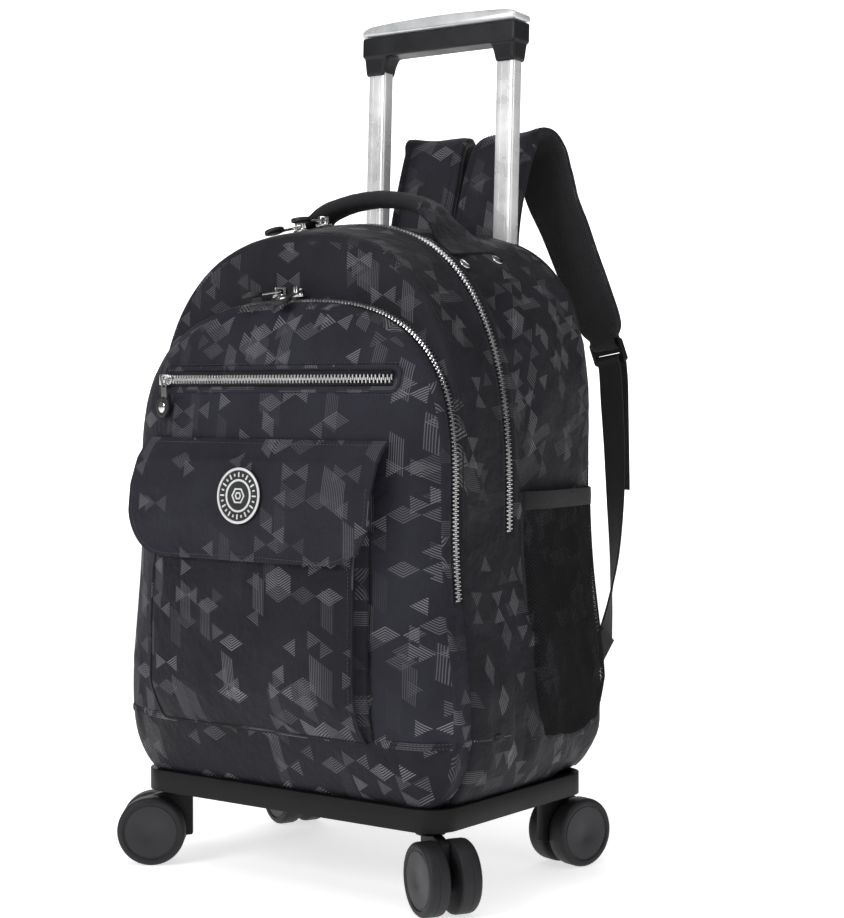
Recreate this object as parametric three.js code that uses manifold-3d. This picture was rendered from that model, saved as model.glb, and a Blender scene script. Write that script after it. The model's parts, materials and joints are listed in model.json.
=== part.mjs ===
// A wheeled backpack: a soft hollow bag with zipped pockets, shoulder straps and a carrying handle,
// standing on a plastic tray with four twin-wheel casters, with a telescopic pull handle behind it.
// Millimetres, +Z up, the pockets face -Y and the wearer's back is at +Y. The origin is on the floor
// under the middle of the whole footprint.
import * as THREE from "three";
import { mergeVertices } from "three/addons/utils/BufferGeometryUtils.js";
import Module from "manifold-3d";

const wasm = await Module();
wasm.setup();

// General clearances
const gap = 0.3; // between pieces that touch
const cloth = 2.5; // wall of the padded, lined bag fabric
const netCloth = 2; // wall of the side pocket's net and its binding

// Wheels and casters
const wheelRadius = 30;
const wheelWidth = 17.5;
const wheelSpread = 10; // space between the two wheels of a caster
const axleRadius = 3;
const axleClearance = 0.35;
const casterTrail = 24; // from the swivel axis to the axle
const casterNeck = 12.5; // radius of the swivel neck
const casterNeckHeight = 5;
const stemRadius = 4;
const stemLength = 11;
const webThickness = 8; // body plate between the wheels
const tyreFloorGap = 0.6; // above the wheels, under the neck

// Base tray
const trayWidth = 328;
const trayDepth = 228;
const trayCorner = 26;
const trayHeight = 18.5;
const trayRimWidth = 7;
const trayRimHeight = 4.5;
const deckThickness = 4;
const skirtWall = 4;
const bossRadius = 15;
const casterInset = 26; // swivel axis to the tray's outer edge
const trayBottom = 2 * wheelRadius + tyreFloorGap + casterNeckHeight + gap;
const trayTop = trayBottom + trayHeight;
const deckTop = trayTop - trayRimHeight;

// Main bag
const bagBottom = deckTop + gap;
const bagHeight = 479;
const bagTop = bagBottom + bagHeight;
const bagHalfWidth = 168;
const belly = 12; // how far the lower part swells past that
const footHeight = 46; // height of the rounded bottom corners
const bellyTop = 235; // height over which it swells
const footInset = 22; // how far the bottom narrows to sit on the tray
const frontY = -86; // front face of the main compartment
const outerZipY = -22; // where the two halves of the bag meet
const rearY = 84; // back wall of the main compartment
const sleeveBackY = 127; // back face of the sleeve round the pull handle's tubes
const backPadThickness = 11;
const domeHeight = 230; // of the main bag's rounded top
const backNarrowing = 22; // taken off the outline at the very back
const edgeRounding = 8; // depth over which the front and back edges turn
const bootTop = 138 - 80; // seam of the bottom band, above the bag's bottom

// Front pocket, on the front face
const pocketHalfWidth = 164;
const pocketTop = 493 - 80; // above the bag's bottom
const pocketShoulder = 150;
const pocketPower = 2.8;
const pocketGusset = 21; // depth of the zipped edge
const pocketBulge = 36; // how far the panel swells past its edge

// Lower patch pocket and its flap
const patchHalfWidth = 119;
const patchBottom = 60; // above the bag's bottom
const patchTop = 282;
const patchDepth = 15;
const flapHalfWidth = 130;
const flapTop = 298;
const flapLength = 99;
const flapCorner = 42;
const flapThickness = 3;
const flapStandOff = 6; // over the patch pocket's front, in the middle
const flapSag = 3; // how far its sides lie behind its middle
const flapUnder = 1.2; // least space under the flap
const badgeRadius = 23;
const badgeThickness = 3.5;
const badgeHeight = 252;

// Zips
const chainWidth = 7.5;
const chainThickness = 2.4;
const outerZipStart = 222; // lowest end of the outer zip, above the bag's bottom
const innerZipStart = 170;
const straightZipHeight = 347;
const straightZipHalf = 120;
const straightZipShift = 6; // its middle lies this far to the right

// Side pockets
const netFrontY = -2;
const netRearY = 99;
const netBottom = 44; // above the bag's bottom
const netTop = 254;
const netBulge = 17;
const netLift = 0.8; // over the curved cloth

// Pull handle: two tubes in two guides, leaning back
const leanDegrees = 2.25;
const tubeFootY = 95.5;
const tubeHalfSpacing = 72.8;
const tubeWidth = 20;
const tubeDepth = 14;
const tubeWall = 1.5;
const guideWall = 1.3;
const guideLength = 438;
const passageOverlap = 20; // how far the cuts for guides and tubes run past their places
const passageTop = 560; // above the deck
const tubeLow = 158; // lower end of the sliding tube above the deck, as shown
const gripFoot = 633.5; // bottom of the grip's legs above the deck
const gripHalfWidth = 86.5;
const gripBarLow = 17; // from the legs' bottom to the bar's underside
const gripBarTop = 36;
const gripCapRise = 12.5;
const gripLegWall = 1.6;
const gripDepth = 27;
const socketDepth = 24;
const buttonLength = 38;
const buttonWidth = 9;
const buttonTravel = 3;

// Shoulder straps
const strapThickness = 11;
const strapPadWidth = 70;
const strapReach = 111; // how far out their lower ends hang
const strapSway = 91; // how far behind their roots those hang
const strapCrest = 115; // how far they rise above their roots
const strapRoot = 456; // where the straps leave the back pad, above the bag's bottom
const webbingWidth = 28;
const webbingThickness = 2;
const lockWidth = 40;
const lockHeight = 22;
const lockThickness = 5;

// Carrying handle
const rivetRadius = 5.5;
const rivetHeight = 2.6;
const rivetX = 112;

// Where the middle of the footprint lies behind the middle of the tray
const frameCentreY = 38.7;

const { sin, cos, abs, min, max, PI, sign, pow, hypot } = Math;
const radians = (degrees) => (degrees * PI) / 180;
const mix = (a, b, t) => a + (b - a) * t;
const vec = (x, y, z) => new THREE.Vector3(x, y, z);

// Solids and booleans
function toSolid(geometry) {
  const plain = new THREE.BufferGeometry();
  const source = geometry.index ? geometry.toNonIndexed() : geometry;
  plain.setAttribute("position", source.getAttribute("position"));
  const merged = mergeVertices(plain, 1e-4);
  return new wasm.Manifold(
    new wasm.Mesh({
      numProp: 3,
      vertProperties: new Float32Array(merged.attributes.position.array),
      triVerts: new Uint32Array(merged.index.array),
    }),
  );
}

function toGeometry(solid) {
  const mesh = solid.getMesh();
  const count = mesh.numVert;
  const positions = new Float32Array(count * 3);
  for (let i = 0; i < count; i++) {
    for (let k = 0; k < 3; k++) {
      positions[3 * i + k] = mesh.vertProperties[i * mesh.numProp + k];
    }
  }
  const geometry = new THREE.BufferGeometry();
  geometry.setAttribute("position", new THREE.BufferAttribute(positions, 3));
  geometry.setIndex(new THREE.BufferAttribute(new Uint32Array(mesh.triVerts), 1));
  return geometry;
}

function moved(geometry, x, y, z) {
  geometry.translate(x, y, z);
  return geometry;
}

function box(width, depth, height, x = 0, y = 0, z = 0) {
  return moved(new THREE.BoxGeometry(width, depth, height), x, y, z);
}

// A round bar along Z from z0 to z1.
function pillar(radius, z0, z1, x = 0, y = 0, sides = 20) {
  const bar = new THREE.CylinderGeometry(radius, radius, z1 - z0, sides);
  bar.rotateX(PI / 2);
  return moved(bar, x, y, (z0 + z1) / 2);
}

function roundedRectangle(width, depth, radius) {
  const [w, d] = [width / 2, depth / 2];
  const shape = new THREE.Shape();
  shape.moveTo(w, -d + radius);
  shape.lineTo(w, d - radius);
  shape.absarc(w - radius, d - radius, radius, 0, PI / 2);
  shape.lineTo(-w + radius, d);
  shape.absarc(-w + radius, d - radius, radius, PI / 2, PI);
  shape.lineTo(-w, -d + radius);
  shape.absarc(-w + radius, -d + radius, radius, PI, 1.5 * PI);
  shape.lineTo(w - radius, -d);
  shape.absarc(w - radius, -d + radius, radius, 1.5 * PI, 2 * PI);
  return shape;
}

// A rounded rectangle raised from z0 to z1.
function slab(width, depth, radius, z0, z1, curveSegments = 5) {
  const geometry = new THREE.ExtrudeGeometry(roundedRectangle(width, depth, radius), {
    depth: z1 - z0,
    bevelEnabled: false,
    curveSegments,
  });
  return moved(geometry, 0, 0, z0);
}

// A closed solid through rings of equally many points, with a flat or fanned cap at each end.
function ringSolid(rings) {
  const count = rings[0].length;
  const positions = [];
  const push = (...points) => points.forEach((p) => positions.push(p.x, p.y, p.z));
  for (let r = 0; r + 1 < rings.length; r++) {
    for (let i = 0; i < count; i++) {
      const j = (i + 1) % count;
      const [a, b, c, d] = [rings[r][i], rings[r][j], rings[r + 1][j], rings[r + 1][i]];
      // Opposite sides are split along like diagonals, so a twisted band keeps its thickness.
      if (i < count / 2) push(a, b, c, a, c, d);
      else push(a, b, d, b, c, d);
    }
  }
  const cap = (ring, flip) => {
    const centre = ring.reduce((sum, p) => sum.add(p), vec(0, 0, 0)).divideScalar(count);
    for (let i = 0; i < count; i++) {
      const j = (i + 1) % count;
      if (flip) push(centre, ring[j], ring[i]);
      else push(centre, ring[i], ring[j]);
    }
  };
  cap(rings[0], true);
  cap(rings[rings.length - 1], false);
  const geometry = new THREE.BufferGeometry();
  geometry.setAttribute("position", new THREE.Float32BufferAttribute(positions, 3));
  return outward(geometry);
}

// A closed solid between two grids of points that face each other.
function sheetSolid(front, back) {
  const [rows, columns] = [front.length, front[0].length];
  const positions = [];
  const quad = (a, b, c, d) => [a, b, c, a, c, d].forEach((p) => positions.push(p.x, p.y, p.z));
  for (let r = 0; r + 1 < rows; r++) {
    for (let c = 0; c + 1 < columns; c++) {
      quad(front[r][c], front[r + 1][c], front[r + 1][c + 1], front[r][c + 1]);
      quad(back[r][c], back[r][c + 1], back[r + 1][c + 1], back[r + 1][c]);
    }
  }
  for (let c = 0; c + 1 < columns; c++) {
    quad(front[0][c], front[0][c + 1], back[0][c + 1], back[0][c]);
    const e = rows - 1;
    quad(front[e][c], back[e][c], back[e][c + 1], front[e][c + 1]);
  }
  for (let r = 0; r + 1 < rows; r++) {
    quad(front[r][0], back[r][0], back[r + 1][0], front[r + 1][0]);
    const e = columns - 1;
    quad(front[r][e], front[r + 1][e], back[r + 1][e], back[r][e]);
  }
  const geometry = new THREE.BufferGeometry();
  geometry.setAttribute("position", new THREE.Float32BufferAttribute(positions, 3));
  return outward(geometry);
}

// Turns every face round if the surface encloses a negative volume.
function outward(geometry) {
  const p = geometry.getAttribute("position");
  let volume = 0;
  const [a, b, c] = [vec(0, 0, 0), vec(0, 0, 0), vec(0, 0, 0)];
  for (let i = 0; i < p.count; i += 3) {
    a.fromBufferAttribute(p, i);
    b.fromBufferAttribute(p, i + 1);
    c.fromBufferAttribute(p, i + 2);
    volume += a.dot(b.cross(c));
  }
  if (volume < 0) {
    for (let i = 0; i < p.count; i += 3) {
      b.fromBufferAttribute(p, i + 1);
      c.fromBufferAttribute(p, i + 2);
      p.setXYZ(i + 1, c.x, c.y, c.z);
      p.setXYZ(i + 2, b.x, b.y, b.z);
    }
  }
  return geometry;
}

// Front-view outlines
// The bag's front view: half width at a height, for a domed top and a narrowed foot.
function archHalfWidth(arch, z) {
  const domeStart = arch.top - arch.shoulder;
  if (z > domeStart) {
    const t = min(1, (z - domeStart) / arch.shoulder);
    return arch.halfWidth * pow(max(0, 1 - pow(t, arch.power)), 1 / arch.power);
  }
  const swell = belly * pow(sin(PI * pow(min(1, (z - bagBottom) / bellyTop), 0.6)), 2);
  if (z < arch.bottom + arch.foot) {
    const t = min(1, (arch.bottom + arch.foot - z) / arch.foot);
    return arch.halfWidth + swell - arch.footInset * (1 - Math.sqrt(max(0, 1 - t * t)));
  }
  return arch.halfWidth + swell;
}

// Height of the dome over a distance from the middle.
function archTopZ(arch, x) {
  const t = min(1, abs(x) / arch.halfWidth);
  const rise = pow(max(0, 1 - pow(t, arch.power)), 1 / arch.power);
  return arch.top - arch.shoulder + arch.shoulder * rise;
}

const domeSteps = 11;
const footSteps = 4;
const sideShares = [0.14, 0.4, 0.7];

// Half of the outline from the foot's corner up to the top's middle, as x and z pairs.
function halfOutline(arch) {
  const points = [];
  for (let i = 0; i <= footSteps; i++) {
    const z = arch.bottom + arch.foot * (1 - cos((i / footSteps) * (PI / 2)));
    points.push([archHalfWidth(arch, z), z]);
  }
  const [low, high] = [arch.bottom + arch.foot, arch.top - arch.shoulder];
  for (const share of sideShares) {
    const z = mix(low, high, share);
    points.push([archHalfWidth(arch, z), z]);
  }
  for (let i = 0; i < domeSteps; i++) {
    const angle = (i / domeSteps) * (PI / 2);
    const x = arch.halfWidth * pow(cos(angle), 2 / arch.power);
    points.push([x, high + arch.shoulder * pow(sin(angle), 2 / arch.power)]);
  }
  return points;
}

// The whole outline as a ring at one depth, turned anticlockwise as seen from the front.
function archRing(arch, y) {
  const half = halfOutline(arch);
  const right = half.map(([x, z]) => vec(x, y, z));
  const left = half.map(([x, z]) => vec(-x, y, z)).reverse();
  return [...right, vec(0, y, arch.top), ...left];
}

const arch = (halfWidth, bottom, top, shoulder, power, foot = footHeight, inset = footInset) => ({
  halfWidth,
  bottom,
  top,
  shoulder,
  power,
  foot,
  footInset: inset,
});

// The same outline with its cloth's thickness, or another distance, taken off all round.
const insetArch = (a, side, top = side, bottom = top) => ({
  ...a,
  halfWidth: a.halfWidth - side,
  bottom: a.bottom + bottom,
  top: a.top - top,
  shoulder: a.shoulder - top,
  foot: a.foot - bottom,
});

// How the bag's outline changes from its front to its back, chosen by hand: side and top are taken
// off its size, as shares of backNarrowing, shoulder is the height of its domed top as a share of
// domeHeight, and a higher power makes the dome squarer.
const bagStations = [
  { y: frontY, side: 0.227, top: 0.318, shoulder: 0.891, power: 2.6 },
  { y: frontY + edgeRounding * 0.25, side: 0.114, top: 0.182, shoulder: 0.913, power: 2.6 },
  { y: frontY + edgeRounding, side: 0.045, top: 0.091, shoulder: 0.957, power: 2.5 },
  { y: mix(frontY, outerZipY, 0.6), side: 0, top: 0.023, shoulder: 1, power: 2.5 },
  { y: outerZipY, side: 0, top: 0, shoulder: 1, power: 2.5 },
  { y: outerZipY + chainWidth, side: 0, top: 0, shoulder: 1, power: 2.5 },
  { y: mix(outerZipY, rearY, 0.5), side: 0.091, top: 0, shoulder: 0.935, power: 2.7 },
  { y: rearY, side: 0.318, top: 0.023, shoulder: 0.87, power: 2.85 },
  { y: mix(rearY, sleeveBackY, 0.6), side: 0.409, top: 0.045, shoulder: 0.848, power: 3 },
  { y: sleeveBackY - edgeRounding, side: 0.5, top: 0.136, shoulder: 0.835, power: 3.05 },
  { y: sleeveBackY - edgeRounding * 0.25, side: 0.682, top: 0.364, shoulder: 0.817, power: 3.05 },
  { y: sleeveBackY, side: 1, top: 0.636, shoulder: 0.791, power: 3.05 },
];

function stationAt(y) {
  let i = 0;
  while (i + 2 < bagStations.length && y > bagStations[i + 1].y) i++;
  const [a, b] = [bagStations[i], bagStations[i + 1]];
  const t = min(1, max(0, (y - a.y) / (b.y - a.y)));
  const between = (key) => mix(a[key], b[key], t);
  return {
    side: between("side") * backNarrowing,
    top: between("top") * backNarrowing,
    shoulder: between("shoulder") * domeHeight,
    power: between("power"),
  };
}

const rimStep = trayTop - deckTop; // the sleeve's bottom clears the tray's rim by this step
const bagArchAt = (y) => {
  const { side, top, shoulder, power } = stationAt(y);
  const bottom = bagBottom + (y > rearY ? rimStep : 0);
  return arch(bagHalfWidth - side, bottom, bagTop - top, shoulder, power);
};

const bagArch = bagArchAt(outerZipY);

// A cup of cloth: rings along an outer skin from its rim to its closed end, and back inside it.
function cup(outer, inner) {
  return ringSolid([...inner.slice().reverse(), ...outer]);
}

// Rings between two depths at the bag's own stations, less a wall.
function bagRings(fromY, toY, wall) {
  const between = bagStations
    .map((s) => s.y)
    .filter((y) => (y - fromY) * (y - toY) < -1e-6);
  if (toY < fromY) between.reverse();
  const endY = toY + sign(fromY - toY) * wall;
  const kept = between.filter((y) => abs(y - endY) > 1 && (y - fromY) * (y - endY) < 0);
  return [fromY, ...kept, endY].map((y) => {
    const here = bagArchAt(wall > 0 && y === endY ? toY : y);
    return archRing(insetArch(here, wall), y);
  });
}

function bagHalf(fromY, toY) {
  return cup(bagRings(fromY, toY, 0), bagRings(fromY, toY, cloth));
}

// Front pocket panel
const pocketRimY = frontY - gap;
const pocketEdgeY = frontY - pocketGusset;
const rimRest = trayTop + gap; // where cloth rests on the tray's rim
const pocketArch = arch(
  pocketHalfWidth,
  rimRest,
  bagBottom + pocketTop,
  pocketShoulder,
  pocketPower,
);
const pocketMiddle = bagBottom + 0.48 * pocketTop;
// Share of the outline at which each ring of the panel lies.
const panelShares = [1, 0.965, 0.88, 0.72, 0.5, 0.25];

const pocketSwell = (share) => pocketBulge * pow(1 - pow(share, 3.2), 0.8);

// Depth of the front pocket's panel at a place in the front view.
function pocketFrontY(x, z) {
  const inside = (share) => {
    const height = pocketMiddle + (z - pocketMiddle) / share;
    if (height > pocketArch.top || height < pocketArch.bottom) return false;
    return abs(x) / share <= archHalfWidth(pocketArch, height);
  };
  let [low, high] = [0.01, 1];
  for (let i = 0; i < 24; i++) {
    const middle = (low + high) / 2;
    if (inside(middle)) high = middle;
    else low = middle;
  }
  return pocketEdgeY - pocketSwell(high);
}

function panelRing(outline, share, y) {
  return archRing(outline, y).map((p) =>
    vec(p.x * share, y, pocketMiddle + (p.z - pocketMiddle) * share),
  );
}

function frontPocket() {
  const rings = (wall) => {
    const outline = insetArch(pocketArch, wall);
    const gusset = [
      archRing(insetArch(outline, 0.6), pocketRimY),
      archRing(outline, pocketRimY - 1.5),
      archRing(outline, pocketEdgeY + 4),
    ];
    const edge = panelShares.map((share) =>
      panelRing(insetArch(outline, 2), share, pocketEdgeY + wall - pocketSwell(share)),
    );
    return [...gusset, ...edge];
  };
  return cup(rings(0), rings(cloth));
}

// A sheet in the front view: rows from top to bottom, columns from left to right, with a wall behind.
function frontSheet(rows, columns, place, wall) {
  const grid = (offset) =>
    rows.map((row) => columns.map((column) => place(column, row, offset)));
  return sheetSolid(grid(0), grid(wall));
}

const steps = (count) => Array.from({ length: count + 1 }, (_, i) => i / count);

// Lower patch pocket: a panel that stands off the front pocket, with folded sides and an open top.
const patchRise = (u, v) => {
  const sides = pow(1 - pow(abs(u), 6), 0.5);
  const pinch = 1 - 0.5 * pow(max(0, (v - 0.45) / 0.55), 1.3);
  return patchDepth * sides * pinch * pow(min(1, v / 0.16), 0.6);
};

function patchPocket() {
  const across = [-1, -0.985, -0.93, -0.8, -0.5, 0, 0.5, 0.8, 0.93, 0.985, 1];
  const up = [0, 0.03, 0.08, 0.2, 0.45, 0.75, 1];
  const place = (u, v, wall) => {
    const x = u * patchHalfWidth;
    const z = bagBottom + mix(patchBottom, patchTop, v);
    const rise = max(cloth, patchRise(u, v) + cloth);
    return vec(x, pocketFrontY(x, z) - gap - (rise - wall), z);
  };
  return frontSheet(up, across, place, cloth);
}

// Depth of the patch pocket's front at a place in the front view.
function patchFrontY(x, z) {
  const u = x / patchHalfWidth;
  const v = (z - bagBottom - patchBottom) / (patchTop - patchBottom);
  const on = abs(u) < 1 && v > 0 && v < 1;
  return pocketFrontY(x, z) - gap - (on ? patchRise(u, v) + cloth : 0);
}

// Flap: sewn along its top, lying over the patch pocket, its lower edge standing forward.
const flapRows = [
  { down: 0, out: 0.05 },
  { down: 0.06, out: 0.3 },
  { down: 0.18, out: 0.62 },
  { down: 0.4, out: 0.9 },
  { down: 0.64, out: 1 },
  { down: 0.76, out: 1 },
  { down: 0.88, out: 1 },
  { down: 0.96, out: 0.98 },
  { down: 1, out: 0.96 },
];
const flapAcross = [-1, -0.94, -0.8, -0.5, 0, 0.5, 0.8, 0.94, 1];

function flapSurface(u, row) {
  const down = row.down * flapLength;
  const z = bagBottom + flapTop - down;
  const past = max(0, down - (flapLength - flapCorner));
  const round = flapCorner - Math.sqrt(max(0, flapCorner * flapCorner - past * past));
  const x = u * (flapHalfWidth - round * 0.95);
  const level = bagBottom + flapTop - 0.65 * flapLength;
  const full = patchFrontY(0, level) - flapStandOff;
  const sewn = pocketFrontY(x, z) - gap - flapThickness;
  const forward = full + flapSag * pow(abs(x) / flapHalfWidth, 2.4);
  const clear = z < bagBottom + patchTop + 4 ? patchFrontY(x, z) - flapThickness - flapUnder : sewn;
  return vec(x, min(sewn, clear, mix(sewn, forward, row.out)), z);
}

function flap() {
  const grid = (offset) =>
    flapRows.map((row) =>
      flapAcross.map((u) => flapSurface(u, row).add(vec(0, offset, 0))),
    );
  return sheetSolid(grid(0), grid(flapThickness));
}

const badgeZ = bagBottom + badgeHeight;
function badgePlace() {
  const down = (flapTop - badgeHeight) / flapLength;
  let i = 0;
  while (flapRows[i + 1].down < down) i++;
  const t = (down - flapRows[i].down) / (flapRows[i + 1].down - flapRows[i].down);
  const out = mix(flapRows[i].out, flapRows[i + 1].out, t);
  const slope =
    (flapSurface(0, flapRows[i + 1]).y - flapSurface(0, flapRows[i]).y) /
    ((flapRows[i + 1].down - flapRows[i].down) * flapLength);
  return { y: flapSurface(0, { down, out }).y, tilt: Math.atan(slope) };
}

// Bands that follow a curve: chains of the zips
// A square-edged band along points, with its width across and its thickness along the normals.
function band(points, normals, across, width, thickness) {
  const rings = points.map((p, i) => {
    const n = normals[i].clone().multiplyScalar(thickness / 2);
    const a = across[i].clone().multiplyScalar(width / 2);
    const corner = (s, t) => p.clone().addScaledVector(a, s).addScaledVector(n, t);
    return [corner(-1, -1), corner(1, -1), corner(1, 1), corner(-1, 1)];
  });
  return ringSolid(rings);
}

// The part of an arch above a height, right to left, with the outward direction at each point.
function archPath(a, lowZ, y) {
  const outline = halfOutline(a);
  const next = outline.findIndex(([, z]) => z > lowZ);
  const [before, after] = [outline[next - 1], outline[next]];
  const start = mix(before[0], after[0], (lowZ - before[1]) / (after[1] - before[1]));
  const half = [[start, lowZ], ...outline.slice(next), [0, a.top]];
  const points = [
    ...half.map(([x, z]) => vec(x, y, z)),
    ...half.slice(0, -1).map(([x, z]) => vec(-x, y, z)).reverse(),
  ];
  const normals = points.map((p, i) => {
    const before = points[max(0, i - 1)];
    const after = points[min(points.length - 1, i + 1)];
    const along = after.clone().sub(before).normalize();
    return vec(along.z, 0, -along.x);
  });
  return { points, normals };
}

function archChain(a, lowZ, y) {
  const { points, normals } = archPath(a, lowZ, y);
  const lift = gap + chainThickness / 2;
  const raised = points.map((p, i) => p.clone().addScaledVector(normals[i], lift));
  return band(raised, normals, points.map(() => vec(0, 1, 0)), chainWidth, chainThickness);
}

const innerZipY = pocketRimY - 1.5 - 0.6 * chainWidth;
const straightZipZ = bagBottom + straightZipHeight;

// Depth of the panel behind the straight zip, whose tape bridges the panel's curve.
const straightZipBed = (x) =>
  min(pocketFrontY(x, straightZipZ - 4), pocketFrontY(x, straightZipZ + 4));

function straightChain() {
  const spots = steps(14).map((t) => straightZipShift + mix(-straightZipHalf, straightZipHalf, t));
  const points = spots.map((x) => {
    return vec(x, straightZipBed(x) - gap - chainThickness / 2, straightZipZ);
  });
  return band(
    points,
    points.map(() => vec(0, -1, 0)),
    points.map(() => vec(0, 0, 1)),
    chainWidth,
    chainThickness,
  );
}

// Sliders and pulls, in a frame with X along the hinge, Y down the pull and Z off the cloth
const sliderLift = 0.1; // over the curved chain
const sliderLength = 13;
const sliderWidth = 8.5;
const sliderBase = 2.4;
const bridgeHeight = 6.6;
const bridgeWidth = 3.6;
const bridgeSpan = 9;
const eyeHeight = 4.6;
const eyeStart = 0.3; // above the slider's plate
const eyeSpan = 5;
const pinHeight = sliderBase + eyeStart + eyeHeight / 2;
const pullPin = 1.3;
const pullPlate = 1.3;
const pullWidth = 7.5;
const pullLength = 17;
const discRadius = 9;
const discThickness = 4;
const domeRadius = 4.5;

function sliderSolid(turn) {
  const base = toSolid(
    moved(slabOf(sliderLength, sliderWidth, 2.5, sliderBase), 0, 0, 0),
  );
  const outer = box(bridgeWidth, bridgeSpan, bridgeHeight, 0, 0, sliderBase + bridgeHeight / 2 - 0.5);
  const eye = box(
    bridgeWidth + 2,
    eyeSpan,
    eyeHeight,
    0,
    0,
    pinHeight,
  );
  const bridge = toSolid(outer).subtract(toSolid(eye)).rotate([0, 0, turn]);
  return base.add(bridge);
}

function slabOf(width, depth, radius, height) {
  return slab(width, depth, radius, 0, height, 2);
}

function pullSolid() {
  const frame = toSolid(box(pullWidth, pullLength, pullPlate, 0, pullLength / 2 - pullPin / 2, 0));
  const window = toSolid(
    box(bridgeWidth + 1, 6.4, pullPlate + 2, 0, pullPin / 2 + 3.2, 0),
  );
  const disc = toSolid(pillar(discRadius, -1.2, discThickness - 1.2, 0, pullLength + 6.5, 14));
  const dome = toSolid(
    pillar(domeRadius, 0, discThickness - 0.2, 0, pullLength + 6.5, 8),
  );
  return frame.subtract(window).add(disc).add(dome);
}

// Side pockets of net with a bound top edge, open upwards
function netX(y, z, u, v) {
  const side = archHalfWidth(bagArchAt(y), z);
  const across = pow(max(0, 1 - pow(abs(2 * u - 1), 3.5)), 0.8);
  const height = min(1, pow(v / 0.22, 0.8)) * mix(1, 0.62, pow(v, 1.6));
  return side + netLift + netBulge * across * height;
}

function netPocket(hand) {
  const acrossShares = [0, 0.03, 0.1, 0.25, 0.5, 0.75, 0.9, 0.97, 1];
  const upShares = [0, 0.04, 0.12, 0.25, 0.5, 0.75, 1];
  const grid = (wall) =>
    upShares.map((v) =>
      acrossShares.map((u) => {
        const y = mix(netFrontY, netRearY, u);
        const z = bagBottom + mix(netBottom, netTop, v);
        return vec(hand * (netX(y, z, u, v) + wall), y, z);
      }),
    );
  return sheetSolid(grid(netCloth), grid(0));
}

// A strap through places with its own width direction, width and thickness at each
function strapSolid(rows, sides = 10) {
  const rings = rows.map((row, i) => {
    const before = rows[max(0, i - 1)].at;
    const after = rows[min(rows.length - 1, i + 1)].at;
    const along = after.clone().sub(before).normalize();
    const across = row.across.clone();
    across.addScaledVector(along, -across.dot(along)).normalize();
    const normal = along.clone().cross(across);
    const ring = [];
    for (let k = 0; k < sides; k++) {
      const angle = (2 * PI * (k + 0.5)) / sides;
      const [c, s] = [cos(angle), sin(angle)];
      const flat = row.flat ?? 0.35;
      const a = sign(c) * pow(abs(c), flat) * (row.width / 2);
      const n = sign(s) * pow(abs(s), flat) * (row.thickness / 2);
      ring.push(row.at.clone().addScaledVector(across, a).addScaledVector(normal, n));
    }
    return ring;
  });
  return ringSolid(rings);
}

const backPadY = sleeveBackY + gap;
const strapRootY = backPadY + strapThickness / 2;
const strapRootZ = bagBottom + strapRoot + gap;

// The right shoulder strap's centre line from its root, chosen by hand, as shares of strapReach,
// strapSway, strapCrest and strapPadWidth.
const strapRoute = [
  { x: 0.342, back: 0, up: 0, width: 1, turn: 0 },
  { x: 0.342, back: 0.044, up: 0.296, width: 1, turn: 0 },
  { x: 0.342, back: 0.165, up: 0.626, width: 1, turn: 0 },
  { x: 0.36, back: 0.308, up: 0.904, width: 0.986, turn: 1 },
  { x: 0.396, back: 0.462, up: 1, width: 0.971, turn: 0 },
  { x: 0.459, back: 0.593, up: 0.965, width: 0.957, turn: -3 },
  { x: 0.523, back: 0.659, up: 0.852, width: 0.943, turn: -8 },
  { x: 0.595, back: 0.67, up: 0.67, width: 0.929, turn: -13 },
  { x: 0.676, back: 0.67, up: 0.461, width: 0.914, turn: -16 },
  { x: 0.757, back: 0.714, up: 0.252, width: 0.9, turn: -16 },
  { x: 0.829, back: 0.78, up: 0.017, width: 0.871, turn: -16 },
  { x: 0.901, back: 0.857, up: -0.226, width: 0.843, turn: -15 },
  { x: 0.964, back: 0.945, up: -0.461, width: 0.771, turn: -13 },
  { x: 1, back: 1, up: -0.626, width: 0.614, turn: -12 },
];

const strapPoint = (hand, row) =>
  vec(
    hand * row.x * strapReach,
    strapRootY + row.back * strapSway,
    strapRootZ + row.up * strapCrest,
  );
const strapAcross = (hand, turn) => vec(cos(radians(turn)), hand * sin(radians(turn)), 0);

function shoulderStrap(hand) {
  const last = strapRoute.length - 1;
  const rows = strapRoute.map((row, i) => ({
    at: strapPoint(hand, row),
    across: strapAcross(hand, row.turn),
    width: row.width * strapPadWidth,
    thickness: i === last ? strapThickness * 0.55 : strapThickness,
  }));
  return strapSolid(rows);
}

// Frame at a strap's lower end: across the strap, down it, and off its face.
function strapEnd(hand) {
  const [a, b] = strapRoute.slice(-2).map((row) => strapPoint(hand, row));
  const down = b.clone().sub(a).normalize();
  const across = strapAcross(hand, strapRoute[strapRoute.length - 1].turn);
  across.addScaledVector(down, -across.dot(down)).normalize();
  const off = across.clone().cross(down).normalize();
  return { at: b, down, across, off };
}

const lockBar = 4;
const lockSlot = (lockHeight - 3 * lockBar) / 2;

// A strap adjuster: a flat frame with two slots, in a frame with X across and Y down the strap.
function lockSolid() {
  let plate = toSolid(slab(lockWidth, lockHeight, 3, 0, lockThickness, 3));
  for (const place of [-1, 1]) {
    const y = (place * (lockSlot + lockBar)) / 2;
    plate = plate.subtract(toSolid(box(lockWidth - 8, lockSlot, 20, 0, y, 0)));
  }
  return plate.translate([0, lockHeight / 2, -lockThickness / 2]);
}

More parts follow.
